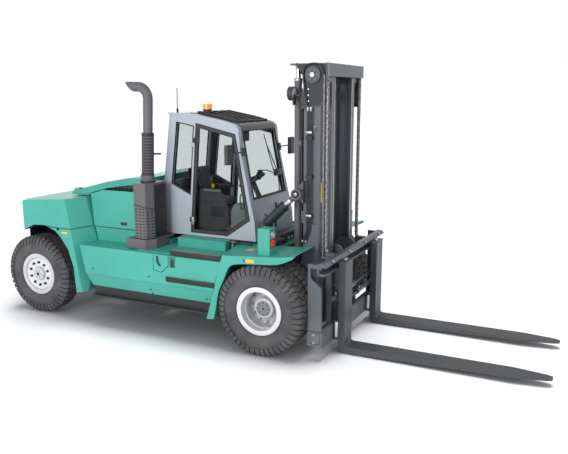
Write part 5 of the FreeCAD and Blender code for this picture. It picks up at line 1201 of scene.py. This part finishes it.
class FORKLIFT_OT_deck(bpy.types.Operator):
    """Model the treads, filler flap, lamp bezels, blank markers and bolts of the chassis boxes"""
    bl_idname = "forklift.deck"
    bl_label = "Dress the deck"

    def execute(self, context):
        for label, side in SIDES.items():
            dress_box(label, side)
        return {"FINISHED"}


def lean(piece, shift):
    """Leans an upright sheet to lie on a sloping face: each height is set off along Y by shift(height)."""
    take(piece)
    bpy.ops.object.transform_apply()
    for vertex in piece.data.vertices:
        vertex.co.y += shift(vertex.co.z)


def lid_y(z, out=0.0):
    """How far out the hood lid's sloping shoulder is at a height."""
    return LID_TOP_Y - (z - 1.835) * 0.150 / 0.185 + out


def dress_weight(label, side):
    """One side's seams, latch, joint line, marker and wheel-pocket skin."""
    seam = [hose("seam", [(-2.72, 0.8985 * side, 1.311), (-1.935, 0.8985 * side, 1.311)], 0.005,
        straight=True), hose("seam", [(-2.833, 0.852 * side, 1.756), (-2.625, 0.848 * side, 1.824),
        (-1.935, 0.848 * side, 1.824)], 0.005, straight=True)]
    joined(f"hood_seams_{label}", seam, "chassis", "slot_shade_and_joint_black")
    latch = block(f"hood_latch_{label}", (-2.30, -2.20), (0.885 * side, 0.903 * side), (1.36, 1.40), 0.006)
    finished(latch, "chassis", "black_plastic")
    joint = hose(f"weight_joint_{label}", [(x, y * side, z) for x, y,
        z in ((-3.345, 1.2005, 1.306), (-3.155, 1.2005, 1.300), (-2.930, 1.2005, 1.300),
        (-2.7705, 0.9005, 1.316))], 0.0045, straight=True)
    finished(joint, "chassis", "slot_shade_and_joint_black")
    # painted shade: the notch in the weight's joint is a thin dark patch
    notch = block(f"weight_notch_{label}", (-3.175, -3.135), (1.198 * side, 1.2025 * side), (1.268, 1.298),
        0.001)
    finished(notch, "chassis", "slot_shade_and_joint_black")
    marker = block(f"weight_marker_{label}", (-3.09, -2.985), (1.2005 * side, 1.203 * side), (1.228, 1.252),
        0.0005)
    finished(marker, "chassis", "film_yellow")
    # the wheel pocket is black: a black skin on its ceiling and its front arch, and on its keel side, its
    # rear wall and the back of its ceiling
    centre = Vector((REAR_X, HUB_Z))
    skins = []
    for name, inner, outer, run in (("ceiling", 0.302, 1.185, POCKET[2:5]),
            ("arch", 0.866, 1.185, POCKET[4:])):
        near = [Vector(p) + (centre - Vector(p)).normalized() * 0.0045 for p in run]
        far = [Vector(p) + (centre - Vector(p)).normalized() * 0.0012 for p in reversed(run)]
        skins.append(plate(name, [tuple(p) for p in near + far], inner * side, (outer - inner) * side, 0.0))
    skins.append(block("keel", (-4.290, -3.958), (0.2995 * side, 0.3020 * side), (0.645, 1.218), 0.0008))
    skins.append(block("wall", (-4.2895, -4.2865), (0.302 * side, 0.628 * side), (0.645, 1.219), 0.0008))
    back = block("back", (-4.286, -3.80), (0.302 * side, 1.185 * side), (1.2180, 1.2210), 0.0008)
    bpy.ops.mesh.select_all(action="SELECT")
    bpy.ops.mesh.bisect(plane_co=at(-4.286, 0.632 * side, 0), plane_no=(-0.747, 0.665 * side, 0),
        use_fill=True, clear_outer=True)
    skins.append(back)
    joined(f"pocket_skin_{label}", skins, "chassis", "underseal")


class FORKLIFT_OT_hood(bpy.types.Operator):
    """Model the hood's seams, latches and shoulders and the counterweight's joint lines, skins and pin"""
    bl_idname = "forklift.hood"
    bl_label = "Dress the hood and weight"

    def execute(self, context):
        for label, side in SIDES.items():
            dress_weight(label, side)
        # the lid's sloping shoulders: a sheet from the top's edge to the skirt's, a rubber edge below
        for label, side in SIDES.items():
            sheet = plate(f"lid_shoulder_{label}", LID_SHOULDER, 0, 0.003 * side, 0.0)
            lean(sheet, lambda z: lid_y(z) * side)
            finished(sheet, "hood", "body_green")
            edge = hose(f"lid_edge_{label}", [(x, lid_y(z, 0.001) * side, z) for x, z in LID_SHOULDER[-3:]],
                0.006, straight=True)
            finished(edge, "hood", "seal_rubber")
        # the lifting-eye recess on the weight's top, drawn as a darker-green disc of painted shade, and its
        # grip
        eye = rod("weight_eye", (-3.67, -0.13, 1.650), (-3.665, -0.13, 1.668), 0.115, 32, 0.004)
        take(eye)
        bpy.ops.object.transform_apply()
        finished(eye, "chassis", "recess_painted_shade")
        grip = hose("weight_grip", [(-3.73, -0.13, 1.662), (-3.70, -0.13, 1.690), (-3.64, -0.13, 1.692),
            (-3.61, -0.13, 1.668)], 0.012)
        finished(grip, "chassis", "dark_fitting")
        # tow pin with its ring, and the radiator's mesh behind the slats, the floors of its holes painted
        # shade
        pin = rod("tow_pin", (-4.464, 0, 0.735), (-4.464, 0, 0.905), 0.017)
        loop = ring("loop", (-4.464, 0, 0.925), (0, 1, 0), 0.024, 0.005)
        joined("tow_pin", [pin, loop], "chassis", "zinc_fitting")
        mesh = slotted_sheet("radiator_mesh", (-4.352, 0.395, 0.985), (0, -0.79, 0), (0, 0, 0.43), 44, 24,
            0.0015, 0.002)
        finished(mesh, "chassis", "dark_fitting", "slot_shade_and_joint_black")
        return {"FINISHED"}


def chain_run(name, side):
    """The leaf chain's straight fall: pairs of outer and inner plates on pins, repeated down its length."""
    pitch = CHAIN_PITCH
    x = CHAIN_X
    parts = []
    for i, plates in enumerate(LINK_PLATES):
        z = CHAIN_TOP - pitch * (i + 0.5)
        for y in plates:
            parts.append(block("plate", (x - 0.015, x + 0.015), (CHAIN_Y * side + y - 0.003,
                CHAIN_Y * side + y + 0.003), (z - pitch * 0.72, z + pitch * 0.72), 0.0025))
        parts.append(rod("pin", (x, CHAIN_Y * side - 0.031, z + pitch * 0.5),
            (x, CHAIN_Y * side + 0.031, z + pitch * 0.5), 0.0065, 8, 0.001))
    return gather(name, parts)


def dress_upright(label, side, falls):
    """One side's chain, hoses, clamps and stops; its falls join the list."""
    chain = chain_run("chain", side)
    take(chain)
    bpy.ops.object.modifier_add(type="ARRAY")
    array = chain.modifiers[-1]
    array.count = 28
    array.use_relative_offset = False
    array.use_constant_offset = True
    array.constant_offset_displace = (0, 0, -2 * CHAIN_PITCH)
    bpy.ops.object.modifier_apply(modifier=array.name)
    falls.append(chain)
    falls.append(hose("fall", [(0.557, 0.611 * side, 1.19), (0.557, 0.611 * side, 1.60),
        (0.557, HOSE_Y * side, 2.10), (0.557, HOSE_Y * side, 3.336)], 0.011))
    # the wrap over the sheave: single pitches turned about its pin
    wrap = []
    for i, plates in enumerate(LINK_PLATES):
        link = [block("plate", (CHAIN_X - 0.014, CHAIN_X + 0.014), (CHAIN_Y * side + y - 0.003,
            CHAIN_Y * side + y + 0.003), (SHEAVE_Z - CHAIN_PITCH * 0.70, SHEAVE_Z + CHAIN_PITCH * 0.70),
            0.0025) for y in plates]
        link.append(rod("pin", (CHAIN_X, CHAIN_Y * side - 0.031, SHEAVE_Z),
            (CHAIN_X, CHAIN_Y * side + 0.031, SHEAVE_Z), 0.0065, 8, 0.001))
        link = gather("link", link)
        centre = Matrix.Translation(at(SHEAVE_X, 0, SHEAVE_Z))
        step = CHAIN_PITCH / (CHAIN_X - SHEAVE_X)
        link.matrix_world = centre @ Matrix.Rotation(-step * (0.5 + i), 4, "Y") @ centre.inverted()
        wrap.append(spread(link, [centre @ Matrix.Rotation(-step * 2 * k, 4, "Y") @ centre.inverted()
            for k in range(1, 6)]))
    joined(f"chain_wrap_{label}", wrap, "inner_mast", "chain_steel")
    # the hose over its pulley, and its run to the clamps on the upright
    over = hose(f"hose_wrap_{label}", [(0.557, HOSE_Y * side, 3.25), (0.557, HOSE_Y * side, 3.37),
        (0.515, HOSE_Y * side, 3.452), (0.440, HOSE_Y * side, 3.466), (0.362, HOSE_Y * side, 3.462),
        (0.300, HOSE_Y * side, 3.425), (0.288, HOSE_Y * side, 3.34), (0.300, HOSE_Y * side, 3.24)], 0.011)
    finished(over, "inner_mast", "hose_rubber")
    rise = hose(f"hose_rise_{label}", [(0.300, HOSE_Y * side, 3.245), (0.310, HOSE_Y * side, 3.16),
        (0.340, HOSE_Y * side, 3.02), (0.354, HOSE_Y * side, 2.93)], 0.011)
    finished(rise, None, "hose_rubber")
    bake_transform(rise)
    hub = turn_profile(f"pulley_hub_{label}", [(0.6515 * side, 0.0), (0.6515 * side, 0.029),
        (0.657 * side, 0.026), (0.657 * side, 0.013), (0.663 * side, 0.011), (0.663 * side, 0.0)],
        at(PULLEY_X, 0, PULLEY_Z), 28)
    finished(hub, "inner_mast", "ring_white")
    spokes = spread(block("pulley_web", (0.455, 0.492), (0.641 * side, 0.645 * side), (3.325, 3.347),
        0.002), turns((PULLEY_X, 0, PULLEY_Z), 6))
    spokes.name = f"pulley_webs_{label}"
    finished(spokes, "inner_mast", "mast_grey")
    # clamps on the two hoses, their bolts and the fittings at the top
    clamps = []
    for z in (1.655, 2.665):
        clamps.append(block("strap", (0.336, 0.412), (0.6375 * side, 0.6425 * side), (z - 0.013, z + 0.013),
            0.002))
        clamps.append(rod("bolt", (0.374, 0.640 * side, z), (0.374, 0.652 * side, z), 0.009, 6, 0.001))
    for x in (0.354, 0.394):
        clamps.append(rod("swage", (x, HOSE_Y * side, 2.915), (x, HOSE_Y * side, 2.965), 0.015, 12))
        clamps.append(rod("swage", (x - 0.055, HOSE_Y * side, 1.342), (x - 0.062, HOSE_Y * side, 1.320),
            0.015, 12))
    joined(f"hose_clamps_{label}", clamps, "mast", "zinc_fitting")
    back = [hose("line", [(0.245, y * side, 0.42), (0.245, y * side, 2.95)], 0.013, straight=True)
        for y in (0.520, 0.548)]
    joined(f"return_lines_{label}", back, "mast", "hose_rubber")
    cover = plate(f"head_cover_{label}", HEAD_COVER, 0.6045 * side, 0.002 * side, 0.0)
    finished(cover, "inner_mast", "exhaust_black_and_shade")
    # fittings in the head plate's slot
    spots = [rod("spot", (0.349, 0.604 * side, z), (0.349, 0.612 * side, z), 0.012, 8)
        for z in (3.03, 3.10, 3.17)]
    joined(f"head_fittings_{label}", spots, "inner_mast", "zinc_fitting")
    # the uprights' cap, roller pins and weld-on stops
    caps = [rod("cap", (0.3925, 0.583 * side, z), (0.3925, 0.590 * side, z), 0.030, 20)
        for z in (0.34, 1.15)]
    caps += [block("stop", (0.330, 0.455), (0.5835 * side, 0.592 * side), (z - 0.03, z + 0.03), 0.004)
        for z in (0.75, 2.72)]
    joined(f"upright_caps_{label}", caps, "mast", "mast_grey")
    edge = block(f"rail_strip_{label}", (0.5665, 0.5695), (0.292 * side, 0.316 * side), (0.45, 3.30), 0.001)
    finished(edge, "inner_mast", "zinc_fitting")
    film = [("film_blue", (0.560, 0.575), (1.815, 2.055)), ("film_yellow", (0.470, 0.556), (1.815, 2.055))]
    for finish, ys, zs in film:
        finished(block(f"upright_{finish}_{label}", (0.5003, 0.5015), (ys[0] * side, ys[1] * side), zs,
            0.0003), "mast", finish)
    # the lift cylinder's gland and hose port
    port = [rod("port", (0.172, 0.500 * side, 0.36), (0.172, 0.57 * side, 0.36), 0.018, 12),
        rod("band", (0.172, 0.500 * side, 3.268), (0.172, 0.500 * side, 3.292), 0.0515, 32)]
    joined(f"lift_ports_{label}", port, "mast", "zinc_fitting")
    run = hose(f"lift_hose_{label}", [(0.172, 0.57 * side, 0.36), (0.172, 0.60 * side, 0.36),
        (0.18, 0.604 * side, 0.42), (0.23, 0.590 * side, 0.80), (0.255, 0.560 * side, 1.20),
        (0.260, 0.45 * side, 1.50)], 0.011)
    finished(run, "mast", "hose_rubber")


class FORKLIFT_OT_mast(bpy.types.Operator):
    """Model the mast's chains, hoses, pulleys, clamps, roller-pin caps, work lamp and bolts"""
    bl_idname = "forklift.mast"
    bl_label = "Dress the mast"

    def execute(self, context):
        falls = []
        for label, side in SIDES.items():
            dress_upright(label, side, falls)
        chains = joined("lift_chain_falls", falls, "inner_mast", "chain_steel")
        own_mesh(chains)
        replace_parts(chains, "lift_chains")
        # work lamp: bezel and lens towards the load
        lens = rod("work_lamp_lens", (0.1855, -0.652, 3.120), (0.1905, -0.652, 3.120), 0.070, 32)
        finished(lens, "inner_mast", "lamp_clear")
        bezel = ring("work_lamp_bezel", (0.187, -0.652, 3.120), (1, 0, 0), 0.076, 0.006)
        finished(bezel, "inner_mast", "black_plastic")
        bolt = rod("top_bolts", (0.16, -0.52, 3.470), (0.16, -0.52, 3.478), 0.014, 6)
        places = [(0.16, -0.32), (0.16, 0.32), (0.16, 0.52), (0.56, -0.52), (0.56, -0.2), (0.56, 0.2),
            (0.56, 0.52)]
        finished(spread(bolt, shifts(*[(x - 0.16, y + 0.52, 0) for x, y in places])), "inner_mast",
            "dark_fitting")
        return {"FINISHED"}


def dress_tilt_cylinder(label, side, anchor, way):
    """One tilt cylinder's gland, sleeve, ports, pins and hoses."""
    y = TILT_Y * side

    def along(distance, off=0.0):
        place = anchor + way * distance + Vector((-way.z, 0, way.x)) * off
        return (place.x, y, place.z)

    gland = gather(f"tilt_gland_{label}", [rod("gland", along(0.350), along(0.3795), 0.0655, 36),
        rod("band", along(0.060), along(0.074), 0.0640, 36)])
    finished(gland, f"tilt_barrel_{label}", "dark_fitting")
    sleeve = rod(f"tilt_rod_sleeve_{label}", along(0.384), along(0.492), 0.03614, 72)
    finished(sleeve, f"tilt_rod_{label}", "chrome_rod")
    ports = [rod("port", along(0.095, 0.055), along(0.095, 0.085), 0.017, 12),
        rod("port", along(0.310, 0.055), along(0.310, 0.085), 0.017, 12)]
    joined(f"tilt_ports_{label}", ports, f"tilt_barrel_{label}", "dark_fitting")
    pins = [rod("pin", (TILT_EYE_X, 0.747 * side, TILT_EYE_Z), (TILT_EYE_X, 0.757 * side, TILT_EYE_Z),
        0.024, 24), rod("pin", (TILT_EYE_X, 0.755 * side, TILT_EYE_Z),
        (TILT_EYE_X, 0.763 * side, TILT_EYE_Z), 0.011, 6)]
    joined(f"tilt_pin_{label}", pins, "mast", "rod_grey")
    pins = [rod("pin", (TILT_ANCHOR_X, 0.793 * side, TILT_ANCHOR_Z),
        (TILT_ANCHOR_X, 0.803 * side, TILT_ANCHOR_Z), 0.034, 24)]
    joined(f"anchor_pin_{label}", pins, "chassis", "dark_fitting")
    x, _, z = along(0.310, 0.085)
    a, _, b = along(0.095, 0.085)
    inner = 0.58 * side
    hoses = [hose("hose", [(x, y, z), (x - 0.03, y - 0.01 * side, z + 0.03), (x - 0.07, inner, z - 0.05),
        (-0.09, inner, 1.55), (-0.13, 0.54 * side, 1.36), (-0.17, 0.50 * side, 1.245),
        (-0.26, 0.44 * side, 1.222)], 0.012), hose("hose", [(a, y, b),
        (a - 0.03, y - 0.01 * side, b + 0.02), (a - 0.02, inner, b - 0.06), (-0.14, inner, 1.42),
        (-0.19, 0.55 * side, 1.26), (-0.30, 0.48 * side, 1.222)], 0.012)]
    piece = joined(f"tilt_hoses_{label}", hoses, None, "hose_rubber")
    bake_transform(piece)


class FORKLIFT_OT_tilt(bpy.types.Operator):
    """Model the tilt cylinders' glands, ports and hoses"""
    bl_idname = "forklift.tilt"
    bl_label = "Dress the tilt cylinders"

    def execute(self, context):
        anchor, eye = Vector((TILT_ANCHOR_X, 0, TILT_ANCHOR_Z)), Vector((TILT_EYE_X, 0, TILT_EYE_Z))
        way = (eye - anchor).normalized()
        for label, side in SIDES.items():
            dress_tilt_cylinder(label, side, anchor, way)
        # valve block and its fittings on the front deck, between the tilt cylinders
        valve = [block("valve", (-0.26, -0.12), (-0.30, 0.22), (1.212, 1.32), 0.008)]
        valve += [rod("port", (-0.15, y, 1.26), (-0.085, y, 1.26), 0.017, 12) for y in VALVE_PORTS]
        joined("deck_valve", valve, "chassis", "dark_fitting")
        unions = [rod("union", (-0.085, y, 1.26), (-0.065, y, 1.26), 0.020, 6) for y in VALVE_PORTS]
        unions.append(rod("union", (-0.14, -0.36, 1.212), (-0.14, -0.36, 1.27), 0.022, 12))
        joined("deck_unions", unions, "chassis", "zinc_fitting")
        tubes = [hose("tube", [(-0.26, y, 1.27), (-0.31, y, 1.27), (-0.36, y, 1.25),
            (-0.50, y * 1.2, 1.225), (-0.62, y * 1.4, 1.222)], 0.012) for y in (-0.24, -0.10, 0.04, 0.18)]
        joined("deck_tubes", tubes, "chassis", "hose_rubber")
        return {"FINISHED"}


def dress_carriage_end(label, side):
    """One side's anchors, bolts, seams, roller sleeves and fork lock."""
    anchors = [rod("anchor", (0.590, 0.556 * side, 1.20), (0.590, 0.556 * side, 1.235), 0.020, 12),
        rod("nut", (0.590, 0.556 * side, 1.10), (0.590, 0.556 * side, 1.12), 0.024, 6),
        rod("union", (0.557, 0.6145 * side, 1.165), (0.557, 0.6145 * side, 1.20), 0.0075, 12)]
    joined(f"chain_anchors_{label}", anchors, "carriage", "zinc_fitting")
    bolts = [rod("bolt", (0.655, 1.1065 * side, z), (0.655, 1.113 * side, z), 0.014, 8)
        for z in (0.225, 0.325)]
    bolts += [rod("bolt", (0.800, y * side, 1.180), (0.812, y * side, 1.190), 0.016, 12)
        for y in (0.88, 0.30)]
    joined(f"carriage_bolts_{label}", bolts, "carriage", "zinc_fitting")
    notch = block(f"end_block_seam_{label}", (0.590, 0.750), (1.1055 * side, 1.108 * side), (0.200, 0.350),
        0.001)
    finished(notch, "carriage", "mast_grey")
    lines = [hose("line", [(0.576, 1.1065 * side, 0.366), (0.760, 1.1065 * side, 0.366)], 0.003,
        straight=True), hose("line", [(0.612, 1.1085 * side, 0.345), (0.735, 1.1085 * side, 0.345),
        (0.735, 1.1085 * side, 0.215), (0.612, 1.1085 * side, 0.215)], 0.0025, True, True)]
    joined(f"end_block_lines_{label}", lines, "carriage", "slot_shade_and_joint_black")
    # bright sleeves over the fork's rollers, between their brackets
    body = f"fork_{label}"
    sleeves = []
    for y in (FORK_Y - FORK_ROLLER_STEP, FORK_Y + FORK_ROLLER_STEP):
        sleeves.append(rod("sleeve", (0.796, y * side, 0.204), (0.796, y * side, 0.401), 0.0308, 28, 0.004))
    joined(f"roller_sleeves_{label}", sleeves, body, "chrome_rod")
    lock = [rod("pin", (0.86, FORK_Y * side, 1.140), (0.86, FORK_Y * side, 1.165), 0.018, 16),
        block("handle", (0.845, 0.875), (0.567 * side, 0.647 * side), (1.158, 1.170), 0.004)]
    joined(f"fork_lock_{label}", lock, body, "zinc_fitting")


class FORKLIFT_OT_carriage(bpy.types.Operator):
    """Model the carriage's hoses, anchors and bolts and the forks' rollers and locks"""
    bl_idname = "forklift.carriage"
    bl_label = "Dress the carriage"

    def execute(self, context):
        for label, side in SIDES.items():
            dress_carriage_end(label, side)
        # hoses from the anchors across to the positioners
        z_of = {"left": 0.700, "right": 0.560}
        hoses, ends = [], []
        for label, side in SIDES.items():
            z = z_of[label]
            far = -side
            for y in (0.15, 0.70):
                ends.append(rod("port", (0.775, y * far, z + 0.030), (0.775, y * far, z + 0.055), 0.013,
                    12))
                if y < 0.5:
                    hoses.append(hose("hose", [(0.775, y * far, z + 0.05), (0.775, y * far, z + 0.11),
                        (0.735, (y + 0.05) * far, z + 0.17), (0.700, (y + 0.08) * far, 0.95),
                        (0.690, (y + 0.10) * far, 1.03), (0.665, 0.40 * far, 1.10),
                        (0.640, 0.56 * far, 1.145)], 0.010))
                else:
                    hoses.append(hose("hose", [(0.775, y * far, z + 0.05), (0.770, y * far, z + 0.09),
                        (0.730, (y - 0.03) * far, z + 0.12), (0.690, (y - 0.10) * far, z + 0.10),
                        (0.680, 0.30 * far, z + 0.09), (0.680, 0.22 * far, z + 0.16),
                        (0.690, 0.22 * far, 1.03), (0.665, 0.38 * far, 1.115), (0.640, 0.56 * far, 1.160)],
                        0.010))
        joined("positioner_hoses", hoses, "carriage", "hose_rubber")
        joined("positioner_ports", ends, "carriage", "zinc_fitting")
        return {"FINISHED"}


class FORKLIFT_PT_panel(bpy.types.Panel):
    """The truck's settings and the steps that build its looks"""
    bl_idname = "FORKLIFT_PT_panel"
    bl_label = "Forklift truck"
    bl_space_type = "VIEW_3D"
    bl_region_type = "UI"
    bl_category = "Forklift"

    def draw(self, context):
        scene = context.scene
        for group in (scene.forklift_colours, scene.forklift_tyres, scene.forklift_studio):
            for name in type(group).__annotations__:
                self.layout.prop(group, name)
        for step in STEPS:
            self.layout.operator(step.bl_idname)


STEPS = (FORKLIFT_OT_finishes, FORKLIFT_OT_studio, FORKLIFT_OT_tyres, FORKLIFT_OT_wheels, FORKLIFT_OT_seat,
    FORKLIFT_OT_cab, FORKLIFT_OT_exhaust, FORKLIFT_OT_deck, FORKLIFT_OT_hood, FORKLIFT_OT_mast,
    FORKLIFT_OT_tilt, FORKLIFT_OT_carriage)
CLASSES = (ForkliftColours, ForkliftTyres, ForkliftStudio, *STEPS, FORKLIFT_PT_panel)


def register():
    for item in CLASSES:
        bpy.utils.register_class(item)
    bpy.types.Scene.forklift_colours = PointerProperty(type=ForkliftColours)
    bpy.types.Scene.forklift_tyres = PointerProperty(type=ForkliftTyres)
    bpy.types.Scene.forklift_studio = PointerProperty(type=ForkliftStudio)


def unregister():
    del bpy.types.Scene.forklift_studio
    del bpy.types.Scene.forklift_tyres
    del bpy.types.Scene.forklift_colours
    for item in reversed(CLASSES):
        bpy.utils.unregister_class(item)


def main():
    register()
    bpy.ops.forklift.finishes()
    bpy.ops.forklift.studio()
    bpy.ops.forklift.tyres()
    bpy.ops.forklift.wheels()
    bpy.ops.forklift.seat()
    bpy.ops.forklift.cab()
    bpy.ops.forklift.exhaust()
    bpy.ops.forklift.deck()
    bpy.ops.forklift.hood()
    bpy.ops.forklift.mast()
    bpy.ops.forklift.tilt()
    bpy.ops.forklift.carriage()


if __name__ == "__main__":
    main()
